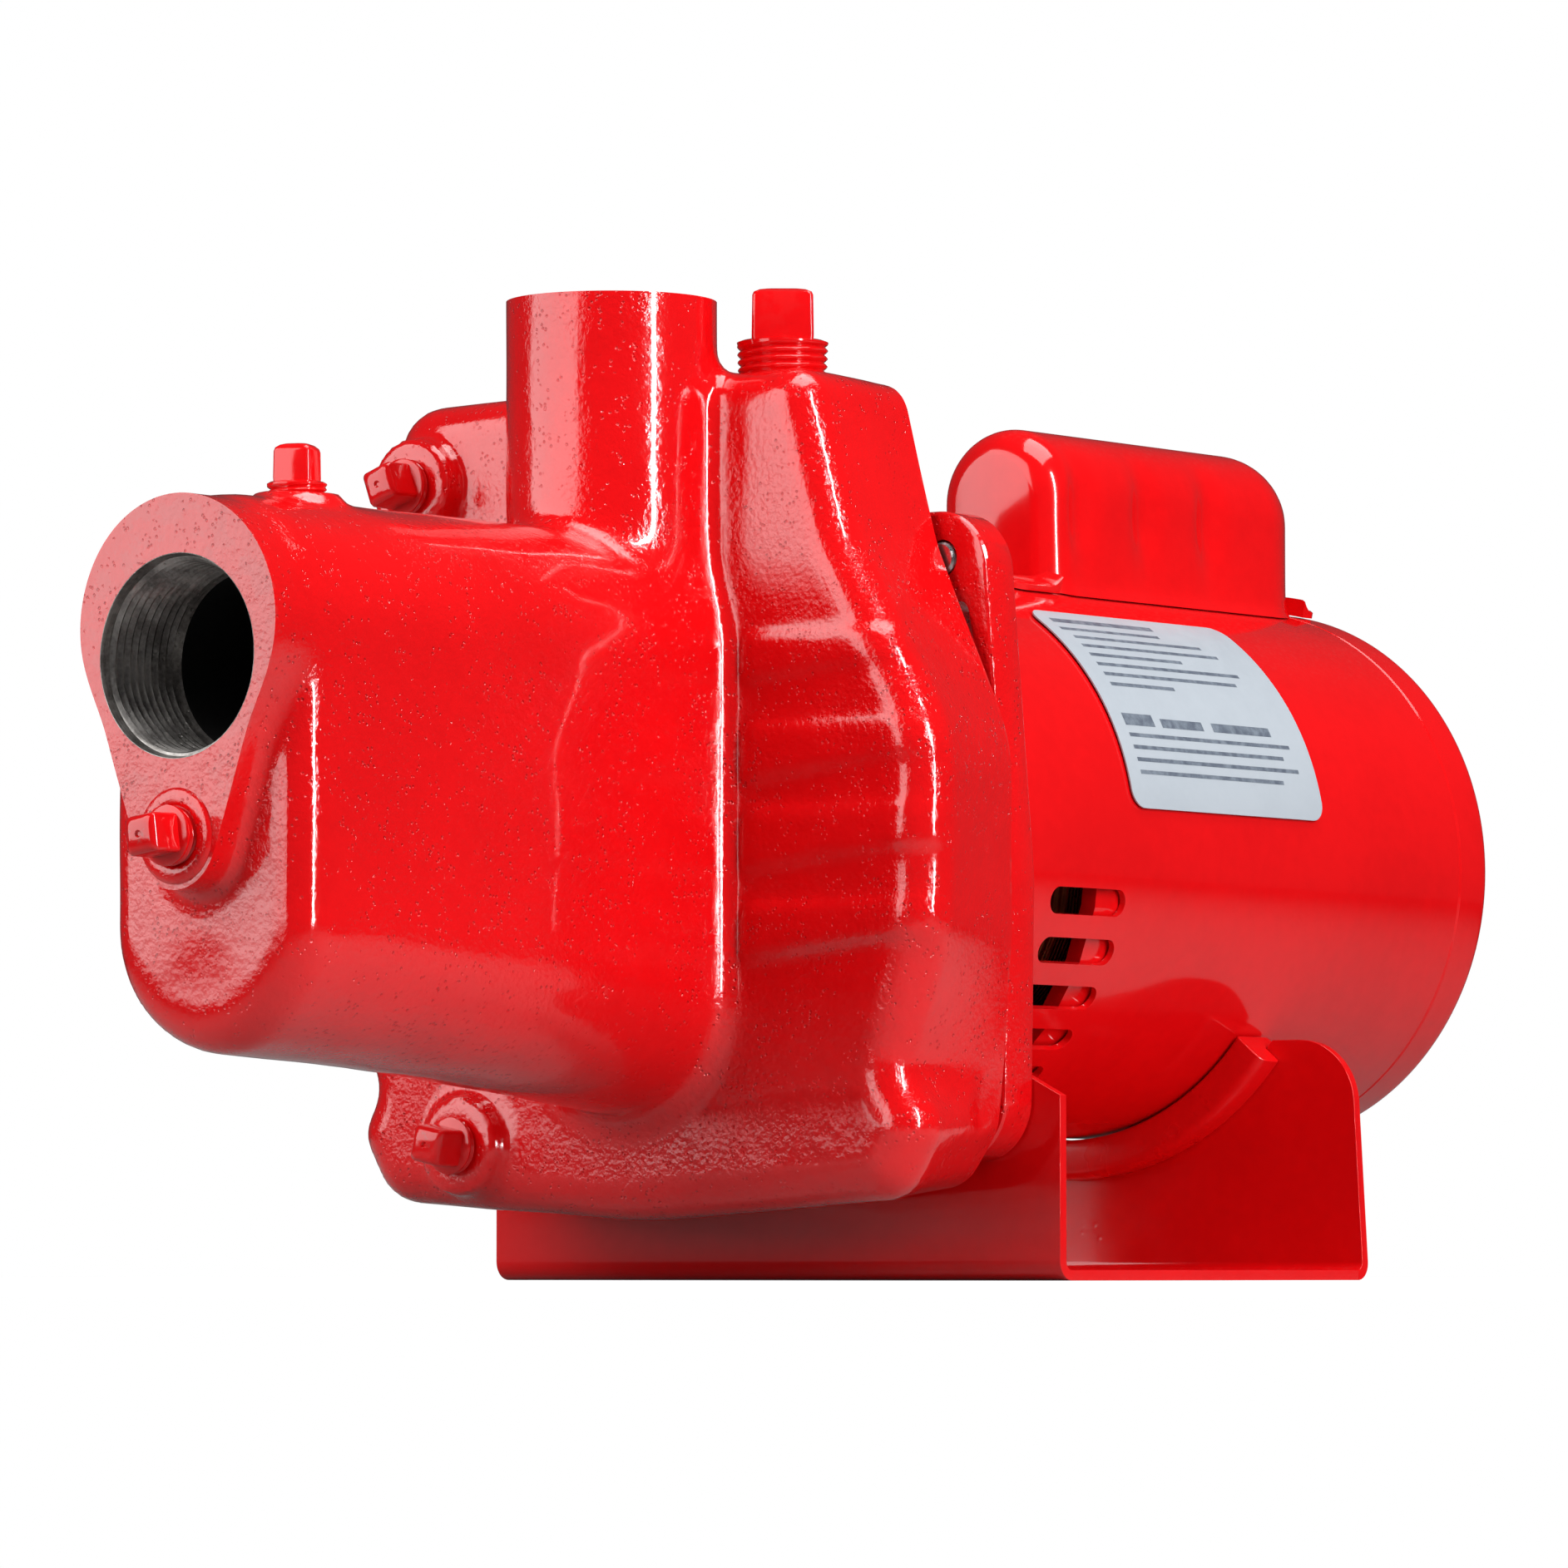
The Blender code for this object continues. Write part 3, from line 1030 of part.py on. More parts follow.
# ---- adapter ------------------------------------------------------------------------------
def adapter():
    corners = [(-y, z, r) for y, z, r in PLATE_CORNERS] + [
        (y, z, r) for y, z, r in reversed(PLATE_CORNERS)]
    outline = rounded(from_shaft(corners), steps=6)
    body = plate("adapter_plate", outline, PLATE_FRONT, PLATE_REAR)
    cut(body, cylinder("adapter_bore", PLATE_BORE_R, (PLATE_FRONT - CUT, 0, AXIS_Z),
                       (PLATE_REAR + CUT, 0, AXIS_Z), steps=24))
    for i, (y, z) in enumerate(bolt_centres()):
        cut(body, cylinder(f"adapter_hole_{i}", BOLT_R + GAP, (PLATE_FRONT - CUT, y, z),
                           (PLATE_REAR + CUT, y, z), steps=14))
    ends = [(side * y * mm, AXIS_Z + z * mm) for side in (1, -1) for y, z in PLATE_SLOT]
    for i, (one, two) in enumerate((ends[:2], ends[2:])):
        lean = math.degrees(math.atan2(one[1] - two[1], one[0] - two[0]))
        outline = (arc(one, PLATE_SLOT_R, lean - 90, lean + 90, 6)
                   + arc(two, PLATE_SLOT_R, lean + 90, lean + 270, 6))
        cut(body, plate(f"plate_slot_{i}", outline, PLATE_FRONT - CUT, PLATE_REAR + CUT))
    finish(smooth(body), PUMP_RED, 0.3)
    gasket = ring("casing_gasket", JOINT_X + GAP, JOINT_X + GAP + GASKET, BOWL_R, BOWL_R + 6 * mm)
    finish(gasket, (0.04, 0.04, 0.04), 0.8)


def casing_bolts():
    for i, (y, z) in enumerate(bolt_centres()):
        low = z < AXIS_Z
        head_x = FLANGE_X + SHEET + GAP if low else PLATE_REAR + GAP
        hex_bolt(f"casing_bolt_{i + 1}", (head_x, y, z), (JOINT_X - 12 * mm, y, z), BOLT_R,
                 BOLT_HEX, BOLT_HEAD)


# ---- build --------------------------------------------------------------------------------
casing()
plugs()
jet_parts()
diffuser()
impeller()
shaft_seal()
adapter()
casing_bolts()
shaft()
rotor_core()
seal_head()
slinger()
cooling_fan()
governor()
bearing("front_bearing", FRONT_BEARING_X)
bearing("rear_bearing", REAR_BEARING_X)
motor_shell()
end_bells()
stator()
through_bolts()
rear_cover()
switch_parts()
label()
capacitor_cover()
capacitor()
base_bracket()
saddle_strip()
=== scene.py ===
"""Look of the jet pump: a cast casing, a close-coupled motor and a folded base in glossy red."""
import math

import bmesh
import bpy
import numpy as np
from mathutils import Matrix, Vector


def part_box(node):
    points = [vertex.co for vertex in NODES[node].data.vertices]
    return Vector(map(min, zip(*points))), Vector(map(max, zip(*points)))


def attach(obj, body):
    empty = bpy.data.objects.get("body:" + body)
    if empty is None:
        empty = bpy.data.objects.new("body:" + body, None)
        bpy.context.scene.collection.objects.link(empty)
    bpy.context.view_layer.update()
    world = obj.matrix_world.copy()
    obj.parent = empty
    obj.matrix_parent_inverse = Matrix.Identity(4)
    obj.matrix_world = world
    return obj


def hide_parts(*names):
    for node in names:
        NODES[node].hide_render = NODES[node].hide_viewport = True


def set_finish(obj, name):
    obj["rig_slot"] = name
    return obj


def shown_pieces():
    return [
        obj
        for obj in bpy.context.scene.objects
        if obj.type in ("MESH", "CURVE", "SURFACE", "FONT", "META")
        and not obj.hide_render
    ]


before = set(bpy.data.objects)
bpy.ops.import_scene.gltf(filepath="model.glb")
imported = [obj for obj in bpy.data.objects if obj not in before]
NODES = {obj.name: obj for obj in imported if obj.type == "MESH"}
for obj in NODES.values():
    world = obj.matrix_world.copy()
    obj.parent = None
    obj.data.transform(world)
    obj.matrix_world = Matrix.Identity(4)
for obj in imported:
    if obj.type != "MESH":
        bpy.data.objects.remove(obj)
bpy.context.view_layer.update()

import openvdb
from mathutils import Matrix, Vector

mm = 0.001


def corner(node, end, axis):
    """One coordinate of a CAD node's box: end 0 is its lowest corner, 1 its highest."""
    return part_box(node)[end][axis]


# ---- places read from the CAD model --------------------------------------------------------------
SHAFT_Z = (corner("shaft", 0, 2) + corner("shaft", 1, 2)) / 2
SHELL_R = corner("motor_shell", 1, 1)
SHELL_X = (corner("motor_shell", 0, 0), corner("motor_shell", 1, 0))
COVER_X = (corner("rear_cover", 0, 0), corner("rear_cover", 1, 0))
PLATE_X = (corner("adapter_plate", 0, 0), corner("adapter_plate", 1, 0))
FLANGE_X = (corner("base_bracket", 0, 0), corner("base_bracket", 1, 0))
BASE_HALF = corner("base_bracket", 1, 1)
JOINT_X = corner("pump_casing", 1, 0)
RISER_TOP = corner("pump_casing", 1, 2)
CAP_X = (corner("capacitor_cover", 0, 0), corner("capacitor_cover", 1, 0))
CAP_TOP = corner("capacitor_cover", 1, 2)
LABEL_X = (corner("label", 0, 0), corner("label", 1, 0))
FRONT_BOSS_X = corner("pump_casing", 0, 0)

# ---- casing --------------------------------------------------------------------------------------
FACE_X = -116.0 * mm
PAD_X = -270.0 * mm
FRONT_OUTLINE = (
    (-49, 207, 9), (-60, 168, 40), (-86, 122, 40), (-85, 78, 30), (-75, 46, 9), (-83, 35, 9),
    (-74, 18, 12), (0, 13, 200), (75, 18, 12), (84, 34, 9), (79, 44, 8), (86, 66, 25),
    (87, 122, 40), (78, 168, 30), (71, 204, 12))
REAR_OUTLINE = (
    (-48, 206, 9), (-58, 168, 40), (-79, 122, 40), (-79, 78, 30), (-77, 50, 9), (-75, 34, 9),
    (-66, 21, 12), (0, 16, 200), (68, 21, 12), (77, 34, 9), (78, 46, 8), (80, 66, 25),
    (82, 122, 40), (75, 168, 30), (69, 203, 12))
VOXEL = 1.5 * mm
CASING_LOW = (-274 * mm, -90 * mm, 9 * mm)
CASING_HIGH = (-72 * mm, 90 * mm, 227 * mm)
# each rib: height of its top edge, and of its lower edge beside the arm and at the rim
RIBS = ((146, 134, 139), (125.5, 111, 117), (106.5, 91, 96.5), (85, 71, 76.5))
PAINT_INSET = 0.3 * mm
FACE_EDGE_R = 9 * mm
TAPER_X = -106 * mm
ARM_HALF = 28.5 * mm
ARM_END_X = -261.5 * mm
ARM_TOP_AXIS_Z = 141.0 * mm
ARM_ROOT_X = -84 * mm
TUBE_Z = 140.7 * mm
TUBE_R = 27.0 * mm
TUBE_ROOT_X = -100 * mm
TOE_Z = 95 * mm
TOE_R = 11.5 * mm
PAD_BACK_X = -258.5 * mm
SIDE_BOSS_R = 11.5 * mm
ARM_BOSS_R = 9.5 * mm
BOSS_EDGE_R = 1.6 * mm
BOWL_R = 64 * mm
BOWL_X = -107 * mm
JET_R = 11.2 * mm
JET_X = -246 * mm
BOLT_HOLE_R = 4.3 * mm
PORT_PITCH = 2.2 * mm
MOUTH_Z = 133.7 * mm
MOUTH_R = 22.0 * mm
RISER_X = -122.0 * mm
RISER_R = 24.1 * mm
RISER_MOUTH_R = 16.7 * mm
BOLT_AT = (58.0 * mm, 63.8 * mm)
# boss centres: along the shaft, sideways and up
GAUGE_BOSS = (-122.5 * mm, 60.5 * mm, 184.0 * mm)
DRAIN_BOSS = (-120.5 * mm, 47.5 * mm, 31.0 * mm)
TOE_BOSS = (FRONT_BOSS_X, 0.0, 95.0 * mm)
ARM_BOSS = (-231.0 * mm, 0.0, 171.0 * mm)
PRIMING_BOSS = (-97.0 * mm, -30.0 * mm, 207.0 * mm)


# ---- meshes --------------------------------------------------------------------------------------
def piece(name, points, faces, body="frame", node=None, slot=None):
    """A new mesh piece that rides on a CAD body and may stand for a CAD node."""
    mesh = bpy.data.meshes.new(name)
    mesh.from_pydata([tuple(p) for p in points], [], [tuple(f) for f in faces])
    return declare(name, mesh, body, node, slot)


def declare(name, mesh, body="frame", node=None, slot=None):
    obj = bpy.data.objects.new(name, mesh)
    bpy.context.scene.collection.objects.link(obj)
    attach(obj, body)
    if node:
        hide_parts(node)
    if slot:
        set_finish(obj, slot)
    return obj


def facing_out(obj):
    bm = bmesh.new()
    bm.from_mesh(obj.data)
    bmesh.ops.recalc_face_normals(bm, faces=bm.faces)
    bm.to_mesh(obj.data)
    bm.free()
    return obj


def shade(obj, angle=32):
    obj.data.shade_smooth()
    obj.data.set_sharp_from_angle(angle=math.radians(angle))
    return obj


def soften(obj, width, segments=2, angle=40):
    """Rounds an edge slightly, as paint or a press does."""
    bevel = obj.modifiers.new("soft edge", "BEVEL")
    bevel.width = width
    bevel.segments = segments
    bevel.limit_method = "ANGLE"
    bevel.angle_limit = math.radians(angle)
    bevel.harden_normals = False
    return obj


def baked(obj):
    """Replaces an object's mesh with the result of its modifiers."""
    bpy.context.view_layer.update()
    made = bpy.data.meshes.new_from_object(
        obj.evaluated_get(bpy.context.evaluated_depsgraph_get()))
    obj.modifiers.clear()
    obj.data = made
    return obj


def carve(obj, cutters):
    """Cuts the cutters out of an object and removes them."""
    for cutter in cutters:
        step = obj.modifiers.new("cut", "BOOLEAN")
        step.operation = "DIFFERENCE"
        step.object = cutter
        step.solver = "EXACT"
    baked(obj)
    for cutter in cutters:
        bpy.data.objects.remove(cutter)
    return obj


def loose(name, points, faces):
    """A helper solid, which a boolean uses up."""
    mesh = bpy.data.meshes.new(name)
    mesh.from_pydata([tuple(p) for p in points], [], [tuple(f) for f in faces])
    obj = bpy.data.objects.new(name, mesh)
    bpy.context.scene.collection.objects.link(obj)
    return facing_out(obj)


def strip_faces(rows, count, closed_columns=True):
    """Quads between rows of equally many points."""
    faces = []
    for i in range(rows - 1):
        for j in range(count if closed_columns else count - 1):
            k = (j + 1) % count
            faces.append((i * count + j, i * count + k, (i + 1) * count + k, (i + 1) * count + j))
    return faces


def lofted(loops, cap_first=True, cap_last=True):
    """Points and faces of a skin through closed loops, with an end face on each end."""
    count = len(loops[0])
    points = [p for loop in loops for p in loop]
    faces = strip_faces(len(loops), count)
    if cap_first:
        faces.append(tuple(range(count)))
    if cap_last:
        faces.append(tuple(len(points) - count + i for i in range(count)))
    return points, faces


def turned(profile, centre=(0.0, SHAFT_Z), steps=128, closed=True):
    """Points and faces of a profile of (x, radius) turned about a line along X."""
    points, loops = [], []
    for x, r in profile:
        if r == 0.0:
            loops.append([len(points)])
            points.append((x, centre[0], centre[1]))
        else:
            loops.append(range(len(points), len(points) + steps))
            points += [(x, centre[0] + r * math.cos(2 * math.pi * i / steps),
                        centre[1] + r * math.sin(2 * math.pi * i / steps))
                       for i in range(steps)]
    faces = []
    pairs = list(zip(loops, loops[1:])) + ([(loops[-1], loops[0])] if closed else [])
    for one, two in pairs:
        for i in range(steps):
            j = (i + 1) % steps
            if len(one) == 1 and len(two) == 1:
                break
            if len(one) == 1:
                faces.append((one[0], two[j], two[i]))
            elif len(two) == 1:
                faces.append((one[i], one[j], two[0]))
            else:
                faces.append((one[i], one[j], two[j], two[i]))
    return points, faces


def bend(centre, radius, start, end, steps):
    """Points on an arc, its angles in degrees."""
    angles = [math.radians(start + (end - start) * i / steps) for i in range(steps + 1)]
    return [(centre[0] + radius * math.cos(a), centre[1] + radius * math.sin(a)) for a in angles]


def rounded(corners, steps=6):
    """An outline whose corners (x, y, radius) are rounded off."""
    points = []
    for i, (x, y, radius) in enumerate(corners):
        here = Vector((x, y))
        before = Vector(corners[i - 1][:2]) - here
        after = Vector(corners[(i + 1) % len(corners)][:2]) - here
        half = before.angle(after) / 2
        reach = min(radius / math.tan(half), before.length / 2.05, after.length / 2.05)
        radius = reach * math.tan(half)
        middle = here + (before.normalized() + after.normalized()).normalized() * (
            radius / math.sin(half))
        first = here + before.normalized() * reach - middle
        last = here + after.normalized() * reach - middle
        turn = first.angle_signed(last)
        for k in range(steps + 1):
            spoke = first.copy()
            spoke.rotate(Matrix.Rotation(-turn * k / steps, 2))
            points.append(tuple(middle + spoke))
    return points


def keyhole(bottom, top, bottom_r, top_r):
    """A small circle at the bottom and a large one on top, with straight sides."""
    steps = 32
    lean = math.degrees(math.asin((top_r - bottom_r) / (top - bottom)))
    return (bend((0, top), top_r, -lean, 180 + lean, steps)
            + bend((0, bottom), bottom_r, 180 + lean, 360 - lean, steps))


def in_mm(corners):
    return [(x * mm, y * mm, r * mm) for x, y, r in corners]


def prism(outline, low, high, along="X"):
    """Points and faces of an outline drawn out along an axis."""
    def place(p, h):
        return {"X": (h, p[0], p[1]), "Y": (p[0], h, p[1]), "Z": (p[0], p[1], h)}[along]
    return lofted([[place(p, low) for p in outline], [place(p, high) for p in outline]])


def drill(name, low, high, radius, at=(0.0, SHAFT_Z), steps=40):
    """A round cutter along X."""
    return loose(name, *turned([(low, 0.0), (low, radius), (high, radius), (high, 0.0)], at, steps,
                               closed=False))


def middle_of(node):
    """The sideways and upward middle of a CAD node."""
    low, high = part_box(node)
    return (low.y + high.y) / 2, (low.z + high.z) / 2


# ---- distance fields -----------------------------------------------------------------------------
def outline_distance(outline, ys, zs):
    """Signed distance to an outline at every grid point of a cross-section."""
    gy, gz = np.meshgrid(ys, zs, indexing="ij")
    nearest = np.full(gy.shape, 1.0)
    inside = np.zeros(gy.shape, bool)
    for (y0, z0), (y1, z1) in zip(outline, outline[1:] + outline[:1]):
        ey, ez = y1 - y0, z1 - z0
        py, pz = gy - y0, gz - z0
        t = np.clip((py * ey + pz * ez) / max(ey * ey + ez * ez, 1e-12), 0, 1)
        nearest = np.minimum(nearest, (py - t * ey) ** 2 + (pz - t * ez) ** 2)
        if ez:
            inside ^= ((z0 <= gz) != (z1 <= gz)) & (gy < y0 + pz * ey / ez)
    away = np.sqrt(nearest)
    return np.where(inside, -away, away).astype(np.float32)


def blend_in(a, b, reach):
    """Union with a fillet."""
    near = np.maximum(reach - np.abs(a - b), 0) / reach
    return np.minimum(a, b) - near * near * reach / 4


def blend_off(a, b, reach):
    """Intersection with a rounded edge."""
    return -blend_in(-a, -b, reach)


def round_meet(a, b, radius):
    """Intersection whose edge has a true radius."""
    over = np.hypot(np.maximum(a + radius, 0), np.maximum(b + radius, 0))
    return over + np.minimum(np.maximum(a, b) + radius, 0) - radius


def rod(a, b, radius, gx, gy, gz):
    """Distance to a round-ended rod between two points."""
    a, b = Vector(a), Vector(b)
    run = b - a
    px, py, pz = gx - a.x, gy - a.y, gz - a.z
    t = np.clip((px * run.x + py * run.y + pz * run.z) / run.length_squared, 0, 1)
    return np.sqrt((px - t * run.x) ** 2 + (py - t * run.y) ** 2 + (pz - t * run.z) ** 2) - radius


def boss(centre, radius, depth, gx, gy, gz):
    """A round boss that looks along -X."""
    side = np.hypot(gy - centre[1], gz - centre[2]) - radius
    ends = np.maximum(centre[0] - gx, gx - centre[0] - depth)
    return round_meet(side, ends, BOSS_EDGE_R)


def casing_field(xs, ys, zs):
    """Distance to the casting's surface: body, arm, riser, ribs and bosses, less its bores."""
    gx, gy, gz = xs[:, None, None], ys[None, :, None], zs[None, None, :]
    front = outline_distance(rounded(in_mm(FRONT_OUTLINE), 8), ys, zs)[None] + PAINT_INSET
    rear = outline_distance(rounded(in_mm(REAR_OUTLINE), 8), ys, zs)[None] + PAINT_INSET
    share = np.clip((gx - TAPER_X) / (JOINT_X - TAPER_X), 0, 1)
    bulk = round_meet(front * (1 - share) + rear * share, FACE_X - gx, FACE_EDGE_R)

    floor = np.interp(xs, np.array((-262, -210, -162, -112)) * mm,
                      np.array((49.0, 46.5, 42.0, 36.5)) * mm)[:, None, None]
    level = np.clip(gz, floor + ARM_HALF, ARM_TOP_AXIS_Z)
    chamber = round_meet(np.hypot(gy, gz - level) - ARM_HALF, ARM_END_X - gx, 8.5 * mm)
    tube = np.maximum(np.hypot(gy, gz - TUBE_Z) - TUBE_R, gx - TUBE_ROOT_X)
    arm = blend_in(chamber, tube, 3.0 * mm)
    pad = outline_distance(keyhole(TOE_Z, TUBE_Z, TOE_R, TUBE_R), ys, zs)[None]
    arm = blend_in(arm, np.maximum(pad, gx - PAD_BACK_X), 4.0 * mm)
    arm = np.maximum(arm, gx - ARM_ROOT_X)
    body = blend_in(bulk, arm, 7 * mm)
    riser = np.maximum(np.hypot(gx - RISER_X, gy) - RISER_R, 130 * mm - gz)
    body = blend_in(body, riser, 6.5 * mm)

    # shallow cast ribs in the hollow between the arm and the near rim
    proud = (0.5 + 0.8 * np.clip((gy + 82 * mm) / (30 * mm), 0, 1)) * mm
    along = np.clip((-26 * mm - gy) / (50 * mm), 0, 1)
    for top, low_arm, low_rim in RIBS:
        low = (low_arm + (low_rim - low_arm) * along) * mm
        across = np.maximum(gz - top * mm, low - gz)
        rib = blend_off(body - proud, across, 2.2 * mm)
        reach = np.maximum(np.maximum(gx + 109 * mm, -120 * mm - gx), gy + 34 * mm)
        rib = blend_off(rib, reach, 3.0 * mm)
        body = blend_in(body, rib, 1.6 * mm)

    body = blend_in(body, boss(GAUGE_BOSS, SIDE_BOSS_R, 20 * mm, gx, gy, gz), 3.0 * mm)
    body = blend_in(body, boss(DRAIN_BOSS, SIDE_BOSS_R, 20 * mm, gx, gy, gz), 3.0 * mm)
    stub = round_meet(np.hypot(gx - ARM_BOSS[0], gy) - ARM_BOSS_R, gz - ARM_BOSS[2], 1.2 * mm)
    body = blend_in(body, np.maximum(stub, 150 * mm - gz), 3.5 * mm)
    # pockets beside the lower bolts, and a faint waviness of the sand mould
    for side in (-1, 1):
        pocket = rod((-70 * mm, side * 84 * mm, 58 * mm), (-83 * mm, side * 80 * mm, 38 * mm),
                     4.0 * mm, gx, gy, gz)
        body = blend_off(body, -pocket, 3.0 * mm)
    wave = 0.09 * mm * (np.sin(gx / (5.1 * mm) + 1.3) * np.sin(gy / (6.3 * mm) + 0.4)
                        + np.sin(gz / (5.7 * mm)) * np.sin((gx + gy) / (7.9 * mm)))
    body = body + wave

    bowl = np.maximum(np.hypot(gy, gz - SHAFT_Z) - BOWL_R, BOWL_X - gx)
    jet = np.maximum(np.hypot(gy, gz - SHAFT_Z) - JET_R, JET_X - gx)
    mouth = np.maximum(np.hypot(gy, gz - MOUTH_Z) - (MOUTH_R + 0.15 * mm), gx + 202 * mm)
    down = np.maximum(np.hypot(gx - RISER_X, gy) - (RISER_MOUTH_R + 0.15 * mm), 176 * mm - gz)
    hollow = np.minimum(np.minimum(bowl, jet), np.minimum(mouth, down))
    return np.maximum(body, -hollow).astype(np.float32)


def trimmed(obj, planes):
    """Cuts an object at planes (point, outward direction) and closes each cut with a flat face."""
    bm = bmesh.new()
    bm.from_mesh(obj.data)
    for point, outward in planes:
        cut = bmesh.ops.bisect_plane(
            bm, geom=bm.verts[:] + bm.edges[:] + bm.faces[:], dist=1e-6,
            plane_co=point, plane_no=outward, clear_outer=True)
        rim = [e for e in cut["geom_cut"] if isinstance(e, bmesh.types.BMEdge)]
        bmesh.ops.triangle_fill(bm, edges=rim, use_beauty=True, use_dissolve=False,
                                normal=outward)
    bmesh.ops.recalc_face_normals(bm, faces=bm.faces)
    bm.to_mesh(obj.data)
    bm.free()
    return obj


def casing():
    """The cast casing, with its pad, riser and joint faces cut flat."""
    xs, ys, zs = [np.arange(low, high, VOXEL, dtype=np.float32)
                  for low, high in zip(CASING_LOW, CASING_HIGH)]
    grid = openvdb.FloatGrid(5 * mm)
    grid.copyFromArray(casing_field(xs, ys, zs))
    points, quads = grid.convertToQuads(0.0)
    obj = piece("casing_body", points * VOXEL + np.array(CASING_LOW), quads.tolist(),
                node="pump_casing", slot="cast_enamel")
    trimmed(obj, [((PAD_X, 0, 0), (-1, 0, 0)), ((0, 0, RISER_TOP), (0, 0, 1)),
                  ((JOINT_X, 0, 0), (1, 0, 0))])
    return shade(obj, 42)


def threaded_bore(name, centre, axis, radius, length, smooth_to):
    """The bare iron lining of a pipe mouth: a lead-in, a helical thread and a deeper bore, whose
    finish is near black as painted shade.
    """
    steps, slices, pitch = 96, 7, PORT_PITCH
    def ring(depth, base, depth_of_thread=0.0):
        made = []
        for i in range(steps):
            turn = 2 * math.pi * i / steps
            phase = (depth / pitch - i / steps) % 1.0
            r = base - depth_of_thread * (1 - abs(2 * phase - 1))
            made.append((depth, r * math.cos(turn), r * math.sin(turn)))
        return made

    loops = [ring(0.0, radius + 0.1 * mm), ring(0.02 * mm, radius),
             ring(2.2 * mm, radius - 0.5 * mm)]
    for k in range(int(length / (pitch / slices))):
        depth = 2.4 * mm + k * pitch / slices
        taper = radius - 0.35 * mm - depth / 32
        loops.append(ring(depth, taper, 1.05 * mm))
    loops.append(ring(length + 3.5 * mm, radius - 2.4 * mm))
    points, faces = lofted(loops, cap_first=False, cap_last=False)
    deep_points, deep_faces = lofted([ring(length + 3.5 * mm, radius - 2.4 * mm),
                                      ring(smooth_to, radius - 2.6 * mm),
                                      ring(smooth_to + 0.4 * mm, 2 * mm)], cap_first=False)
    turn = {"X": lambda p: (centre[0] + p[0], centre[1] + p[1], centre[2] + p[2]),
            "Z": lambda p: (centre[0] + p[1], centre[1] + p[2], centre[2] - p[0])}[axis]
    shade(piece(name, [turn(p) for p in points], faces, slot="cast_enamel"), 25)
    # the deeper piece is finished near black in paint_everything: painted shade deep inside the
    # mouth
    shade(piece(name + "_depth", [turn(p) for p in deep_points], deep_faces,
                slot="cast_enamel"), 30)


def toe_boss():
    """The raised ring round the plug in the suction pad's toe."""
    x, y, z = TOE_BOSS
    points, faces = turned([
        (PAD_X + 3 * mm, 6.4 * mm), (x + 0.5 * mm, 6.4 * mm), (x + 0.15 * mm, 6.9 * mm),
        (x, 7.4 * mm), (x + 0.1 * mm, 9.4 * mm), (x + 0.5 * mm, 10.1 * mm),
        (PAD_X - 0.1 * mm, 10.4 * mm), (PAD_X + 3 * mm, 10.4 * mm)], (y, z), 64)
    return shade(facing_out(piece("front_plug_boss", points, faces, slot="cast_enamel")))


# ---- plugs and bolts -----------------------------------------------------------------------------
def square_loop(height, half, corner_r):
    """A square with round corners, at a height on the plug's axis."""
    per_corner = 6
    loop = []
    r = min(corner_r, half)
    for quarter in range(4):
        middle = 45 + 90 * quarter
        cx = (half - r) * (1 if quarter in (0, 3) else -1)
        cy = (half - r) * (1 if quarter in (0, 1) else -1)
        for k in range(per_corner):
            turn = math.radians(middle - 45 + 90 * k / (per_corner - 1))
            loop.append((cx + r * math.cos(turn), cy + r * math.sin(turn), height))
    return loop


def pipe_plug(node, mouth, away, radius, pitch, shows, half, height, spin):
    """A square-head pipe plug: a tapered helical thread below a square head with a marked tip."""
    steps = 48
    loops = []
    slices = 9
    bottom = -5 * mm
    for k in range(int((shows - bottom) / pitch * slices) + 1):
        h = bottom + k * pitch / slices
        fade = min(1.0, max(0.0, (shows - 0.4 * mm - h) / (0.8 * mm)))
        loop = []
        for i in range(steps):
            turn = 2 * math.pi * i / steps
            phase = (h / pitch - i / steps) % 1.0
            r = radius + h / 32 - 0.9 * mm * fade * abs(2 * phase - 1) ** 1.4 - 0.35 * mm
            loop.append((r * math.cos(turn), r * math.sin(turn), h))
        loops.append(loop)
    loops.append([(p[0] * 0.9, p[1] * 0.9, shows + 0.25 * mm) for p in loops[-1]])
    points, faces = lofted(loops)
    tip = shows + height
    head = [square_loop(shows - 1 * mm, half * 0.97, 0.9 * mm),
            square_loop(shows + 1.2 * mm, half, 0.9 * mm),
            square_loop(tip - 1.7 * mm, half * 0.98, 0.9 * mm),
            square_loop(tip - 0.9 * mm, half * 0.93, 1.1 * mm),
            square_loop(tip - 0.25 * mm, half * 0.76, 1.4 * mm),
            square_loop(tip, half * 0.6, 1.8 * mm),
            square_loop(tip, half * 0.2, half * 0.2),
            square_loop(tip - 0.5 * mm, half * 0.1, half * 0.1)]
    head_points, head_faces = lofted(head)
    shift = len(points)
    faces += [tuple(i + shift for i in f) for f in head_faces]
    points += head_points
    place = (Matrix.Translation(mouth) @ Vector(away).to_track_quat("Z", "Y").to_matrix().to_4x4()
             @ Matrix.Rotation(math.radians(spin), 4, "Z"))
    obj = piece(node + "_turned", [place @ Vector(p) for p in points], faces,
                node=node, slot="plug_enamel")
    return shade(facing_out(obj), 36)


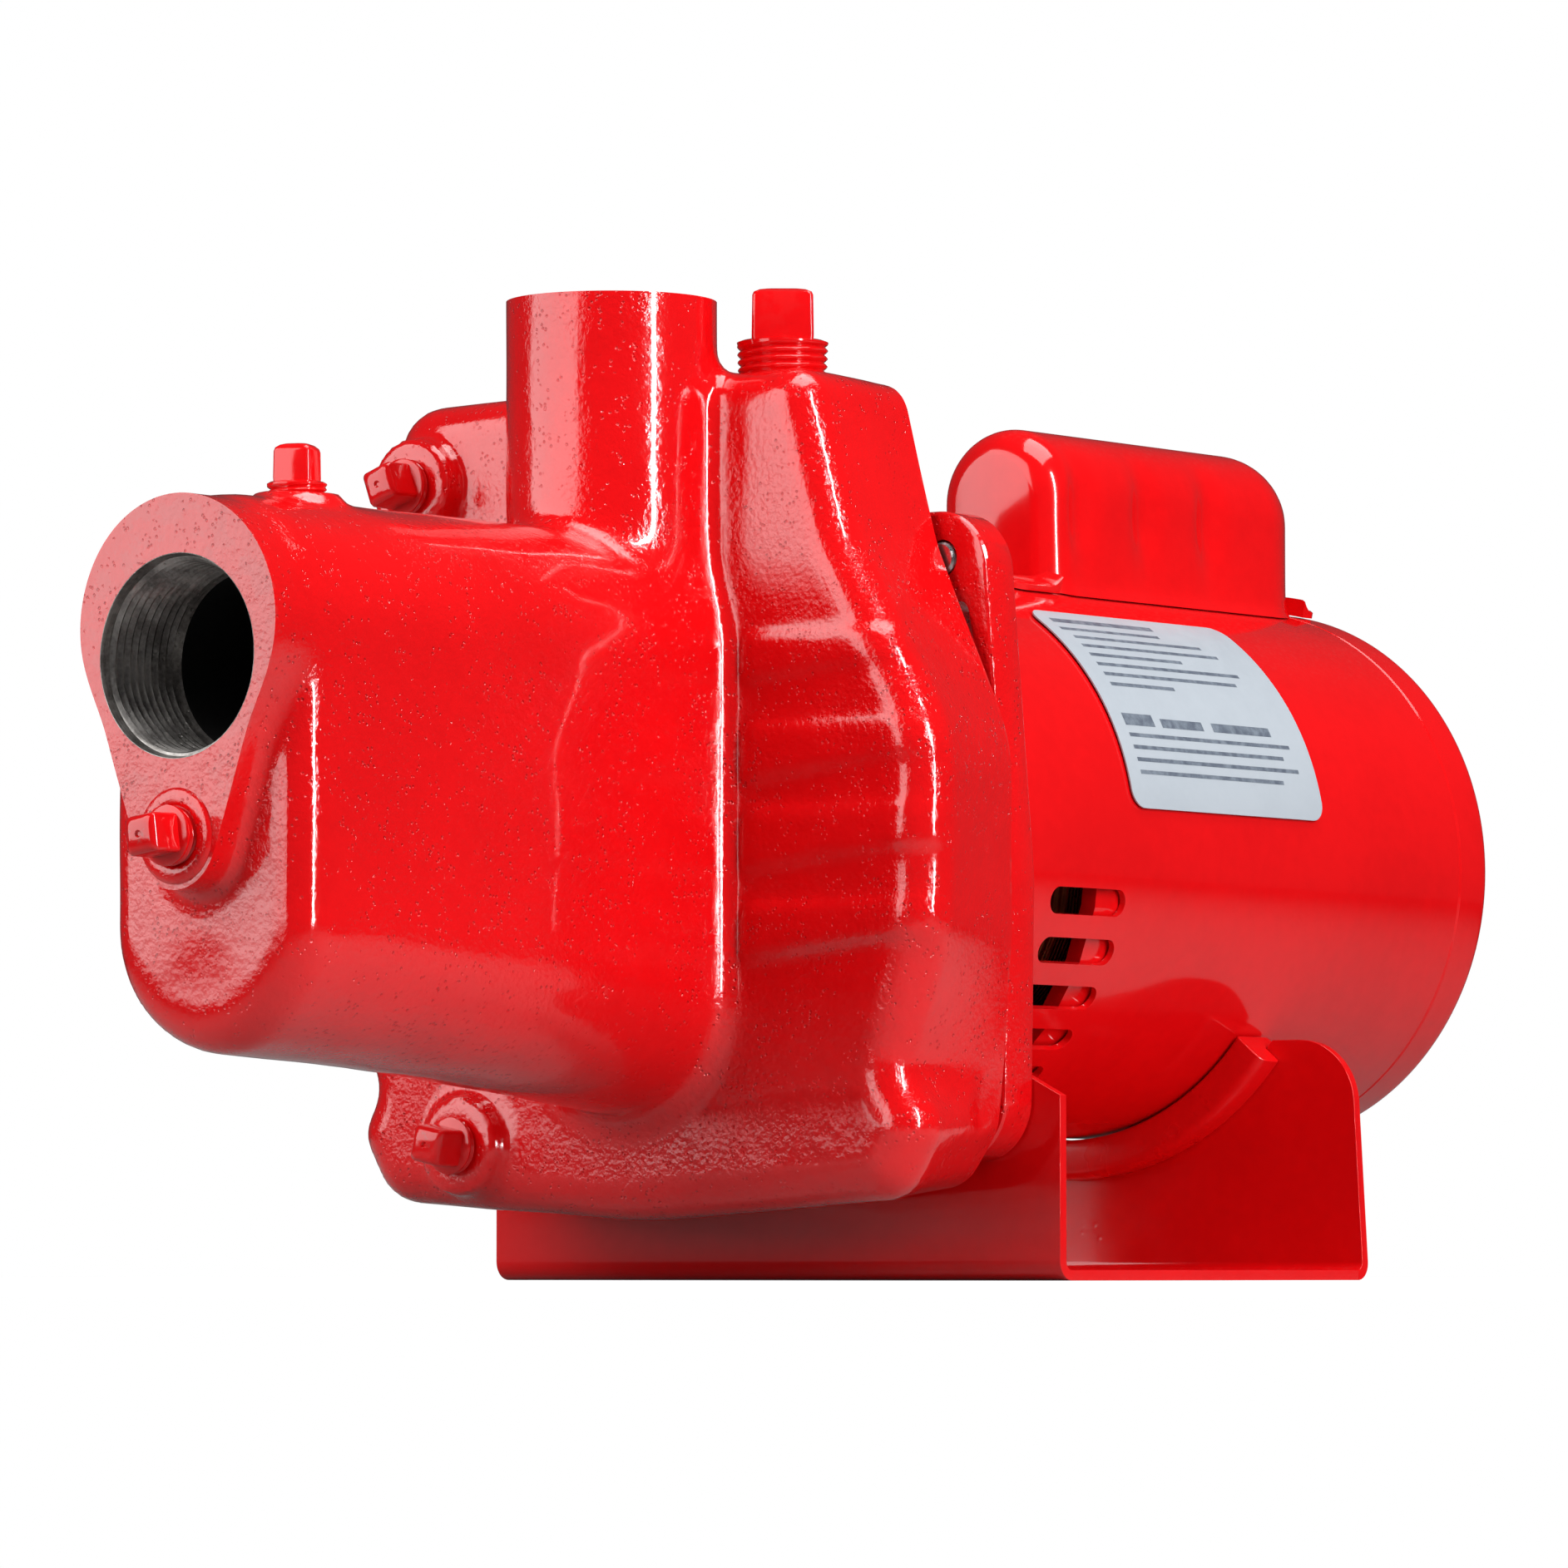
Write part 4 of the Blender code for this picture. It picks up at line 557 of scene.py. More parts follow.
def plugs():
    quarter = {"radius": 6.85 * mm, "pitch": 1.41 * mm, "shows": 2.5 * mm, "half": 4.3 * mm,
               "height": 8.6 * mm}
    pipe_plug("front_gauge_plug", TOE_BOSS, (-1, 0, 0), spin=8, **quarter)
    pipe_plug("casing_gauge_plug", GAUGE_BOSS, (-1, 0, 0), spin=20, **quarter)
    pipe_plug("drain_plug", DRAIN_BOSS, (-1, 0, 0), spin=-12, **quarter)
    pipe_plug("arm_top_plug", ARM_BOSS, (0, 0, 1), spin=22, **quarter)
    pipe_plug("priming_plug", PRIMING_BOSS, (0, 0, 1), radius=10.6 * mm, pitch=1.81 * mm,
              shows=7 * mm, half=7.1 * mm, height=12 * mm - 0.05 * mm, spin=38)


def hex_head(name, node, at, away, across, head, shank_r, shank, slot, spin):
    """A hexagon bolt with a chamfered head and a threaded shank."""
    loops = []
    corner_r = across / math.sqrt(3)
    pitch = 1.25 * mm if shank_r > 3 * mm else 0.8 * mm
    steps, slices = 72, 5

    def hex_ring(height, limit):
        made = []
        for i in range(steps):
            turn = 2 * math.pi * i / steps
            local = (turn % (math.pi / 3)) - math.pi / 6
            r = min(across / 2 / math.cos(local), limit)
            made.append((r * math.cos(turn), r * math.sin(turn), height))
        return made

    def round_ring(height, r):
        return [(r * math.cos(2 * math.pi * i / steps), r * math.sin(2 * math.pi * i / steps),
                 height) for i in range(steps)]

    def thread_ring(height):
        made = []
        for i in range(steps):
            turn = 2 * math.pi * i / steps
            wave = abs(2 * ((height / pitch - i / steps) % 1) - 1)
            r = shank_r - 0.06 * pitch - 0.5 * pitch * wave
            made.append((r * math.cos(turn), r * math.sin(turn), height))
        return made

    loops.append(round_ring(-shank, shank_r * 0.8))
    for k in range(int(shank / pitch * slices)):
        h = -shank + 0.4 * mm + k * pitch / slices
        if h > -1.2 * mm:
            break
        loops.append(thread_ring(h))
    loops.append(round_ring(-1.0 * mm, shank_r))
    loops.append(round_ring(0.0, shank_r))
    loops.append(hex_ring(0.45 * mm, corner_r * 0.985))
    for k in range(5):
        drop = k / 4
        loops.append(hex_ring(head * (0.72 + 0.28 * drop), corner_r * (1.0 - 0.135 * drop ** 1.2)))
    loops.append(round_ring(head, across * 0.44))
    loops.append(round_ring(head - 0.25 * mm, across * 0.30))
    points, faces = lofted(loops)
    place = (Matrix.Translation(at) @ Vector(away).to_track_quat("Z", "Y").to_matrix().to_4x4()
             @ Matrix.Rotation(math.radians(spin), 4, "Z"))
    obj = piece(name, [place @ Vector(p) for p in points], faces, node=node, slot=slot)
    return shade(facing_out(obj), 30)


def bolts():
    across, up = BOLT_AT
    places = [(side * across, SHAFT_Z + level * up) for level in (1, -1) for side in (-1, 1)]
    for i, (y, z) in enumerate(places):
        node = f"casing_bolt_{i + 1}"
        head = 5.3 * mm
        under = corner(node, 1, 0) - head
        tip = PLATE_X[0] - 0.6 * mm if z > SHAFT_Z else corner(node, 0, 0)
        hex_head(f"casing_hex_bolt_{i + 1}", node, (under, y, z), (1, 0, 0), 13 * mm, head,
                 4 * mm, under - tip, "zinc_steel", spin=11 * i)
    head = 2.8 * mm
    for i in (1, 2):
        node = f"rear_cover_screw_{i}"
        low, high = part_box(node)
        hex_head(f"rear_hex_screw_{i}", node, (high.x - head, *middle_of(node)), (1, 0, 0), 7 * mm,
                 head, 2 * mm, high.x - head - low.x, "zinc_steel", spin=25 * i)
    low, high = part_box("cover_screw")
    hex_head("cover_foot_screw", "cover_screw",
             ((low.x + high.x) / 2, 0, high.z - head), (0, 0, 1), 7 * mm, head, 2 * mm,
             high.z - head - low.z, "shell_enamel", spin=14)


# ---- motor ---------------------------------------------------------------------------------------
VENT_X = (-41.5 * mm, -12.0 * mm)
VENT_HALF = 3.2 * mm


def vent_angles():
    return [-11.5 - 10.3 * i for i in range(5)]


def motor_shell():
    inner = SHELL_R - 1.6 * mm
    rows = list(np.arange(SHELL_X[0], SHELL_X[1], 3.5 * mm))
    rows[-1] = SHELL_X[1]
    lip = 0.35 * mm
    outside = [(x, SHELL_R) for x in rows]
    outside[0] = (rows[0] + lip, SHELL_R)
    outside[-1] = (rows[-1] - lip, SHELL_R)
    profile = ([(rows[0], SHELL_R - lip)] + outside + [(rows[-1], SHELL_R - lip)]
               + [(x, inner) for x in rows[::-1]])
    points, faces = turned(profile, steps=192)
    obj = facing_out(piece("motor_shell_skin", points, faces, node="motor_shell",
                           slot="shell_enamel"))
    cutters = []
    for side in (-1, 1):
        for angle in vent_angles():
            outline = (bend((VENT_X[0] + VENT_HALF, 0), VENT_HALF, 90, 270, 12)
                       + bend((VENT_X[1] - VENT_HALF, 0), VENT_HALF, -90, 90, 12))
            points, faces = prism(outline, -(SHELL_R + 3 * mm), -(SHELL_R - 5 * mm), "Y")
            turn = Matrix.Rotation(math.radians(-angle), 4, "X")
            points = [turn @ Vector(p) for p in points]
            cutters.append(loose("vent", [(p.x, p.y * -side, p.z + SHAFT_Z) for p in points],
                                 faces))
    carve(obj, cutters)
    return shade(obj, 35)


def rear_cover():
    """The pressed end cover, with a rolled shoulder and a shallow step on its face."""
    start, end = COVER_X
    wall = 2 * mm
    shoulder = [(end - 4 * mm + 4 * mm * math.sin(a), SHELL_R - 3.6 * mm * (1 - math.cos(a)))
                for a in np.radians(np.linspace(0, 90, 12))]
    face = [(end, 58 * mm), (end - 0.1 * mm, 56.6 * mm), (end - 0.9 * mm, 55.2 * mm),
            (end - 1.0 * mm, 54.4 * mm), (end - 1.0 * mm, 0.0)]
    inside = [(end - 1 * mm - wall, 0.0), (end - 1 * mm - wall, 53 * mm),
              (end - wall, 57 * mm), (end - wall, 60 * mm), (end - 4 * mm, SHELL_R - 2.6 * mm),
              (start + 0.3 * mm, SHELL_R - wall)]
    lip = [(start, SHELL_R - wall + 0.3 * mm), (start, SHELL_R - 0.5 * mm),
           (start + 0.5 * mm, SHELL_R), (start + 4 * mm, SHELL_R), (start + 7 * mm, SHELL_R)]
    points, faces = turned(lip + shoulder + face + inside, steps=192)
    obj = facing_out(piece("rear_cover_pressing", points, faces, node="rear_cover",
                           slot="shell_enamel"))
    deep, proud = end - 9 * mm, end + 3 * mm
    cutters = [drill("inlet", deep, proud, 11.3 * mm, middle_of("inlet_bushing"), 64)]
    for i in (1, 2):
        cutters.append(drill("screw", deep, proud, 2.3 * mm, middle_of(f"rear_cover_screw_{i}"),
                             24))
    carve(obj, cutters)
    return shade(obj, 30)


def cap_loop(x, inset, dent):
    """One cross-section of the capacitor cover, from foot to foot over its round top."""
    half = 18 * mm - inset
    foot = SHAFT_Z + math.sqrt(SHELL_R ** 2 - (18 * mm) ** 2) - 4 * mm
    middle = CAP_TOP - 18 * mm
    loop = []
    rows = 20
    rest = SHAFT_Z + math.sqrt(SHELL_R ** 2 - (18 * mm) ** 2)
    for k in range(rows):
        z = foot + (middle - foot) * (k / rows) ** 1.3
        skirt = 2.0 * mm * math.exp(-max(z - rest, 0.0) / (1.7 * mm))
        loop.append((half - dent(x, z) + skirt, z))
    loop += [(y * (1 - dent(x, z) / half), z) for y, z in bend((0.0, middle), half, 0, 180, 40)]
    loop += [(-y, z) for y, z in loop[:rows][::-1]]
    return [(x, y, z) for y, z in loop]


def dent_depth(x, z):
    """Three shallow dents pressed into each side of the capacitor cover."""
    level = math.exp(-((z - 186 * mm) / (11 * mm)) ** 2)
    return sum(2.6 * mm * math.exp(-((x - at) / (4.6 * mm)) ** 2) * level
               for at in (37 * mm, 63.7 * mm, 91 * mm))


def capacitor_cover():
    front, rear = CAP_X[0] + 16 * mm, CAP_X[1] - 4 * mm
    round_front, round_rear = 9 * mm, 20 * mm
    wall = 1.5 * mm

    def skin(inset):
        loops = []
        for a in np.linspace(12, 90, 12):
            r = round_front - inset
            loops.append(cap_loop(front + inset + r * (1 - math.cos(math.radians(a))),
                                  inset + r * (1 - math.sin(math.radians(a))), dent_depth))
        for x in np.linspace(front + round_front, rear - round_rear, 44)[1:-1]:
            loops.append(cap_loop(float(x), inset, dent_depth))
        for a in np.linspace(90, 12, 16):
            r = round_rear - inset
            loops.append(cap_loop(rear - inset - r * (1 - math.cos(math.radians(a))),
                                  inset + r * (1 - math.sin(math.radians(a))), dent_depth))
        return lofted(loops)

    points, faces = skin(0.0)
    obj = facing_out(piece("capacitor_cover_pressing", points, faces, node="capacitor_cover",
                           slot="shell_enamel"))
    points, faces = skin(wall)
    hollow = loose("hollow", [(x, y, z - 1 * mm) for x, y, z in points], faces)
    seat = drill("seat", front - 30 * mm, rear + 30 * mm, SHELL_R + 0.3 * mm, steps=192)
    carve(obj, [hollow, seat])
    return shade(obj, 38)


def cover_foot(name, x0, x1, half_angle, corner_r, outward):
    """A tab that hugs the shell, with its free corners rounded and its root turned up."""
    low, thick = SHELL_R + 0.3 * mm, 1.8 * mm
    columns, rows = 26, 40
    top, bottom = [], []
    half = math.radians(half_angle) * SHELL_R
    for i in range(columns + 1):
        x = x0 + (x1 - x0) * i / columns
        reach = abs(x - (x0 if outward < 0 else x1))
        trim = corner_r - math.sqrt(max(corner_r ** 2 - max(corner_r - reach, 0) ** 2, 0))
        root = abs(x - (x1 if outward < 0 else x0))
        rise = 2.6 * mm * max(0.0, 1 - root / (4.5 * mm)) ** 2.2
        for j in range(rows + 1):
            turn = (half - trim) / SHELL_R * (2 * j / rows - 1) + math.pi / 2
            edge = min(j, rows - j)
            roll = 0.35 * mm if edge == 0 else 0.0
            for ring, r in ((top, low + thick + rise - roll), (bottom, low)):
                ring.append((x, r * math.cos(turn), SHAFT_Z + r * math.sin(turn)))
    count = rows + 1
    faces = strip_faces(columns + 1, count, closed_columns=False)
    shift = len(top)
    faces += [tuple(k + shift for k in f[::-1]) for f in faces]
    rim = ([j for j in range(count)] + [i * count + rows for i in range(1, columns + 1)]
           + [columns * count + j for j in range(rows - 1, -1, -1)]
           + [i * count for i in range(columns - 1, 0, -1)])
    faces += [(a, b, b + shift, a + shift) for a, b in zip(rim, rim[1:] + rim[:1])]
    obj = facing_out(piece(name, top + bottom, faces, slot="shell_enamel"))
    return shade(obj, 40)


def cover_feet():
    front, rear = CAP_X
    cover_foot("cover_foot_front", front, front + 18 * mm, 16.5, 5 * mm, -1)
    cover_foot("cover_foot_rear", rear - 6 * mm, rear, 13, 2.5 * mm, 1)


def label():
    """A printed film with round corners, and its print as plain bars."""
    outer = SHELL_R + 0.3 * mm + 0.38 * mm
    low_angle, high_angle = math.radians(8.0), math.radians(58.4)
    length = LABEL_X[1] - LABEL_X[0]
    height = (high_angle - low_angle) * SHELL_R
    round_r = 4.5 * mm

    def on_shell(x, along, r):
        turn = low_angle + along / SHELL_R
        return (x, -r * math.cos(turn), SHAFT_Z + r * math.sin(turn))

    x0, x1 = LABEL_X
    columns = 24
    count = max(4, int(height / (1.1 * mm)))
    ease = [round_r * (1 - math.cos(math.radians(a))) for a in range(0, 91, 10)]
    straight = [height * k / count for k in range(count + 1)]
    rows = sorted(set(ease + [height - e for e in ease]
                      + [s for s in straight if round_r < s < height - round_r]))
    points = []
    for s in rows:
        near = min(s, height - s)
        trim = 0.0
        if near < round_r:
            trim = round_r - math.sqrt(max(round_r ** 2 - (round_r - near) ** 2, 0))
        points += [on_shell(x0 + trim + (x1 - x0 - 2 * trim) * j / columns, s, outer)
                   for j in range(columns + 1)]
    film = piece("label_film_sheet", points,
                 strip_faces(len(rows), columns + 1, closed_columns=False), node="label",
                 slot="label_film")
    thickness = film.modifiers.new("film", "SOLIDIFY")
    thickness.thickness = 0.35 * mm
    thickness.offset = 0.0
    shade(baked(film), 40)

    bars = []
    left = LABEL_X[0] + 5 * mm
    line = height - 5.2 * mm
    bars.append((left, left + 41 * mm, line, line + 1.7 * mm))
    for k, share in enumerate((0.62, 0.80, 0.86, 0.58, 0.90, 0.84, 0.40)):
        line -= 3.1 * mm
        indent = 2.2 * mm if k else 0.0
        bars.append((left + indent, left + indent + (length - 14 * mm) * share, line,
                     line + 1.05 * mm))
    line -= 12.5 * mm
    for x0, wide, tall in ((0.0, 12 * mm, 3.2 * mm), (15 * mm, 17 * mm, 2.4 * mm),
                           (36 * mm, 24 * mm, 2.4 * mm)):
        bars.append((left + x0, left + x0 + wide, line + 1.5 * mm, line + 1.5 * mm + tall))
    for share in (0.96, 0.90, 0.97, 0.86):
        line -= 3.1 * mm
        bars.append((left, left + (length - 10 * mm) * share, line + 1.6 * mm,
                     line + 2.6 * mm))
    points, faces = [], []
    for x0, x1, s0, s1 in bars:
        rows = max(2, int((s1 - s0) / (0.7 * mm)) + 1)
        columns = 12
        shift = len(points)
        for i in range(rows):
            along = s0 + (s1 - s0) * i / (rows - 1)
            points += [on_shell(x0 + (x1 - x0) * j / columns, along, outer + 0.2 * mm)
                       for j in range(columns + 1)]
        faces += [tuple(k + shift for k in f)
                  for f in strip_faces(rows, columns + 1, closed_columns=False)]
    shade(piece("label_print", points, faces, slot="label_film"), 60)


# ---- base ----------------------------------------------------------------------------------------
SHEET = 2.4 * mm
BEND_R = 4.5 * mm
SADDLE_LOW = SHELL_R + 0.5 * mm
SADDLE_HIGH = SHELL_R + 10.1 * mm


def base_bracket():
    """One sheet folded up at both ends. The flanges are cut to the motor's round."""
    x0, x1 = FLANGE_X
    top = 80 * mm
    outer = ([(x0, top)] + bend((x0 + BEND_R, BEND_R), BEND_R, 180, 270, 10)
             + bend((x1 - BEND_R, BEND_R), BEND_R, 270, 360, 10) + [(x1, top)])
    inner_r = BEND_R - SHEET
    inner = ([(x0 + SHEET, top)] + bend((x0 + BEND_R, BEND_R), inner_r, 180, 270, 10)
             + bend((x1 - BEND_R, BEND_R), inner_r, 270, 360, 10) + [(x1 - SHEET, top)])
    outline = outer + inner[::-1]
    side = BASE_HALF
    points = [(x, y, z) for y in (-side, side) for x, z in outline]
    count = len(outline)
    faces = [(i, (i + 1) % count, count + (i + 1) % count, count + i) for i in range(count)]
    strips = len(outer)
    for shift in (0, count):
        for i in range(strips - 1):
            faces.append((shift + i, shift + i + 1, shift + count - 2 - i,
                          shift + count - 1 - i))
    obj = facing_out(piece("base_sheet", points, faces, node="base_bracket",
                           slot="shell_enamel"))

    above = top + 2 * mm
    wing_y = side + 2 * mm
    arc_r = SHELL_R + 0.8 * mm
    meet = 51 * mm
    wing_top = 42 * mm + 0.5 * (side - meet)
    low = math.degrees(math.acos(meet / arc_r))
    bite = bend((0, SHAFT_Z), arc_r, 180 + low, 360 - low, 72)
    front_cut = [(-wing_y, above), (-wing_y, 41 * mm), (-meet, wing_top)] + bite[1:-1] + [
        (meet, wing_top), (wing_y, 41 * mm), (wing_y, above)]
    saddle_r = SADDLE_LOW + 4.6 * mm
    shoulder_z, shoulder_y, shoulder_r = 57.5 * mm, 80.5 * mm, 16 * mm
    across = math.sqrt(saddle_r ** 2 - (SHAFT_Z - shoulder_z) ** 2)
    low = math.degrees(math.acos(across / saddle_r))
    bite = bend((0, SHAFT_Z), saddle_r, 180 + low, 360 - low, 72)
    at = (shoulder_y - shoulder_r, shoulder_z - shoulder_r)
    rear_cut = ([(-wing_y, above), (-wing_y, -2 * mm), (-side, -2 * mm), (-side, 0)]
                + bend((-at[0], at[1]), shoulder_r, 180, 90, 16) + bite
                + bend(at, shoulder_r, 90, 0, 16)
                + [(side, 0), (side, -2 * mm), (wing_y, -2 * mm), (wing_y, above)])
    cutters = [loose("front_cut", *prism(front_cut, x0 - 2 * mm, x0 + SHEET + 5 * mm)),
               loose("rear_cut", *prism(rear_cut, x1 - SHEET - 2 * mm, x1 + 2 * mm))]
    for y in (-BOLT_AT[0], BOLT_AT[0]):
        cutters.append(drill("bolt", x0 - 2 * mm, x0 + 6 * mm, BOLT_HOLE_R,
                             (y, SHAFT_Z - BOLT_AT[1])))
    for sx in (-38 * mm, 38 * mm):
        for sy in (-66 * mm, 66 * mm):
            slot_outline = (bend((sx + 4.5 * mm, sy), 5.5 * mm, -90, 90, 14)
                            + bend((sx - 4.5 * mm, sy), 5.5 * mm, 90, 270, 14))
            cutters.append(loose("slot", *prism(slot_outline, -2 * mm, 5 * mm, "Z")))
    carve(obj, cutters)
    soften(obj, 0.45 * mm, 2, 50)
    return shade(obj, 30)


def saddle_strip():
    """The edge trim on the rear flange, a channel with soft lips that the shell rests on."""
    middle = FLANGE_X[1] - SHEET / 2
    x0, x1 = middle - 9 * mm, middle + 4 * mm
    g0, g1 = FLANGE_X[1] - SHEET - 0.3 * mm, FLANGE_X[1] + 0.3 * mm
    top, bottom, groove = SADDLE_LOW, SADDLE_HIGH, SADDLE_LOW + 4.3 * mm
    section = rounded([(x0, top, 1.2 * mm), (x1, top, 1.2 * mm), (x1, bottom, 1.2 * mm),
                       (g1, bottom, 0.5 * mm), (g1, groove, 0.3 * mm), (g0, groove, 0.3 * mm),
                       (g0, bottom, 0.8 * mm), (x0, bottom - 0.2 * mm, 2.6 * mm)], 5)
    loops = []
    for turn in np.radians(np.linspace(270 - 50.8, 270 + 50.8, 90)):
        loops.append([(x, r * math.cos(turn), SHAFT_Z + r * math.sin(turn)) for x, r in section])
    points, faces = lofted(loops)
    obj = facing_out(piece("saddle_trim", points, faces, node="saddle_strip", slot="trim_red"))
    soften(obj, 0.5 * mm, 2, 60)
    return shade(obj, 40)


def adapter_plate():
    corners = ((69.5, 175.5, 14.0), (76.5, 92.0, 60.0), (75.5, 27.0, 14.0))
    mirrored = [(-y, z, r) for y, z, r in corners] + [(y, z, r) for y, z, r in corners[::-1]]
    front, rear = PLATE_X
    outline = rounded(in_mm(mirrored), 14)
    loops = []
    for x, inset in ((front, 1.0), (front + 0.35 * mm, 0.35), (front + 1.0 * mm, 0.0),
                     (rear - 0.8 * mm, 0.0), (rear - 0.25 * mm, 0.25), (rear, 0.8)):
        factor = 1 - inset * mm / (78 * mm)
        loops.append([(x, y * factor, 101 * mm + (z - 101 * mm) * factor) for y, z in outline])
    points, faces = lofted(loops)
    obj = facing_out(piece("adapter_casting", points, faces, node="adapter_plate",
                           slot="cast_enamel"))
    cutters = [drill("bore", front - 2 * mm, rear + 2 * mm, 17 * mm, steps=72)]
    for y in (-BOLT_AT[0], BOLT_AT[0]):
        for z in (SHAFT_Z - BOLT_AT[1], SHAFT_Z + BOLT_AT[1]):
            cutters.append(drill("bolt", front - 2 * mm, rear + 2 * mm, BOLT_HOLE_R, (y, z)))
    for side in (-1, 1):
        one, two = (side * 63 * mm, 152 * mm), (side * 67.5 * mm, 131 * mm)
        lean = math.degrees(math.atan2(one[1] - two[1], one[0] - two[0]))
        outline = (bend(one, 2.6 * mm, lean - 90, lean + 90, 14)
                   + bend(two, 2.6 * mm, lean + 90, lean + 270, 14))
        cutters.append(loose("slot", *prism(outline, front - 2 * mm, rear + 2 * mm)))
    carve(obj, cutters)
    return shade(obj, 28)


# ---- shader groups -------------------------------------------------------------------------------
def group(name, inputs, outputs):
    """An empty shader group with named inputs (name, kind, default) and outputs (name, kind)."""
    tree = bpy.data.node_groups.new(name, "ShaderNodeTree")
    for label_, kind, default in inputs:
        made = tree.interface.new_socket(name=label_, in_out="INPUT",
                                         socket_type="NodeSocket" + kind)
        made.default_value = default
    for label_, kind in outputs:
        tree.interface.new_socket(name=label_, in_out="OUTPUT", socket_type="NodeSocket" + kind)
    return tree, tree.nodes.new("NodeGroupInput"), tree.nodes.new("NodeGroupOutput")


def node(tree, kind, wires=None, **settings):
    """Adds a shader node. Wires give its inputs as sockets or plain values."""
    made = tree.nodes.new("ShaderNode" + kind)
    for key, value in settings.items():
        setattr(made, key, value)
    for key, value in (wires or {}).items():
        if isinstance(value, bpy.types.NodeSocket):
            tree.links.new(value, made.inputs[key])
        else:
            made.inputs[key].default_value = value
    return made


def maths(tree, operation, a, b=0.0, clamp=False):
    return node(tree, "Math", {0: a, 1: b}, operation=operation, use_clamp=clamp).outputs[0]


def spread(tree, value, low, high, to_low=0.0, to_high=1.0):
    """Maps a range smoothly to another."""
    made = node(tree, "MapRange", {"Value": value, "From Min": low, "From Max": high,
                                   "To Min": to_low, "To Max": to_high},
                interpolation_type="SMOOTHSTEP")
    return made.outputs["Result"]


def noise(tree, at, scale, detail=3.0, rough=0.55):
    return node(tree, "TexNoise", {"Vector": at, "Scale": scale, "Detail": detail,
                                   "Roughness": rough}).outputs["Fac"]


def own_place(tree):
    return node(tree, "TexCoord").outputs["Object"]


def tone_drift_group():
    """Slow and fine changes between two colours, as in a coat of uneven thickness."""
    tree, given, out = group("tone drift", [
        ("Colour", "Color", (1, 1, 1, 1)), ("Second Colour", "Color", (0, 0, 0, 1)),
        ("Scale", "Float", 20.0), ("Amount", "Float", 0.3)], [("Colour", "Color")])
    at = own_place(tree)
    slow = noise(tree, at, given.outputs["Scale"])
    fine = noise(tree, at, maths(tree, "MULTIPLY", given.outputs["Scale"], 14.0), 4.0)
    both = maths(tree, "ADD", maths(tree, "MULTIPLY", slow, 0.7),
                 maths(tree, "MULTIPLY", fine, 0.3))
    share = maths(tree, "MULTIPLY", spread(tree, both, 0.35, 0.68), given.outputs["Amount"], True)
    mixed = node(tree, "Mix", {0: share, 6: given.outputs["Colour"],
                               7: given.outputs["Second Colour"]}, data_type="RGBA")
    tree.links.new(mixed.outputs[2], out.inputs["Colour"])
    return tree


def cast_skin_group():
    """Sand-cast skin under enamel: rolling grain, small pits and a few larger ones."""
    tree, given, out = group("cast skin", [
        ("Grain Scale", "Float", 260.0), ("Grain", "Float", 0.5), ("Pit Scale", "Float", 420.0),
        ("Pits", "Float", 0.5)], [("Height", "Float"), ("Pit Mask", "Float")])
    at = own_place(tree)
    grain = noise(tree, at, given.outputs["Grain Scale"], 3.0, 0.5)
    rolling = noise(tree, at, maths(tree, "MULTIPLY", given.outputs["Grain Scale"], 0.22), 2.0)
    patches = spread(tree, noise(tree, at, 26.0, 2.0), 0.36, 0.60)
    cells = node(tree, "TexVoronoi", {"Vector": at, "Scale": given.outputs["Pit Scale"],
                                      "Randomness": 1.0}, feature="F1").outputs["Distance"]
    pits = spread(tree, cells, 0.10, 0.34, 1.0, 0.0)
    chance = spread(tree, noise(tree, at, maths(tree, "MULTIPLY", given.outputs["Pit Scale"],
                                                0.31), 1.0), 0.50, 0.57)
    pits = maths(tree, "MULTIPLY", pits, chance)
    pits = maths(tree, "MULTIPLY", pits, maths(tree, "ADD", maths(tree, "MULTIPLY", patches, 0.6),
                                               0.4))
    pits = maths(tree, "MULTIPLY", pits, given.outputs["Pits"])
    coarse = maths(tree, "ADD", maths(tree, "MULTIPLY", patches, 0.65), 0.35)
    lift = maths(tree, "ADD", maths(tree, "MULTIPLY", grain, coarse),
                 maths(tree, "MULTIPLY", rolling, 0.9))
    lift = maths(tree, "MULTIPLY", lift, given.outputs["Grain"])
    tree.links.new(maths(tree, "SUBTRACT", lift, pits), out.inputs["Height"])
    tree.links.new(pits, out.inputs["Pit Mask"])
    return tree


def dust_group():
    """A trace of dust that settles on faces that look up."""
    tree, given, out = group("settled dust", [("Amount", "Float", 0.1)], [("Mask", "Float")])
    up = node(tree, "SeparateXYZ",
              {0: node(tree, "NewGeometry").outputs["Normal"]}).outputs["Z"]
    flat = spread(tree, up, 0.55, 1.0)
    specks = spread(tree, noise(tree, own_place(tree), 900.0, 2.0), 0.45, 0.75)
    mask = maths(tree, "MULTIPLY", maths(tree, "MULTIPLY", flat, specks), given.outputs["Amount"],
                 True)
    tree.links.new(mask, out.inputs["Mask"])
    return tree


def tool_lines_group():
    """Fine lines left by a tool, drawn out across the given stretch."""
    tree, given, out = group("tool lines", [
        ("Stretch", "Vector", (40.0, 900.0, 900.0)), ("Depth", "Float", 1.0)],
        [("Height", "Float"), ("Shade", "Float")])
    at = node(tree, "VectorMath", {0: own_place(tree), 1: given.outputs["Stretch"]},
              operation="MULTIPLY").outputs[0]
    lines = noise(tree, at, 1.0, 3.0, 0.6)
    tree.links.new(maths(tree, "MULTIPLY", lines, given.outputs["Depth"]), out.inputs["Height"])
    tree.links.new(spread(tree, lines, 0.3, 0.7), out.inputs["Shade"])
    return tree


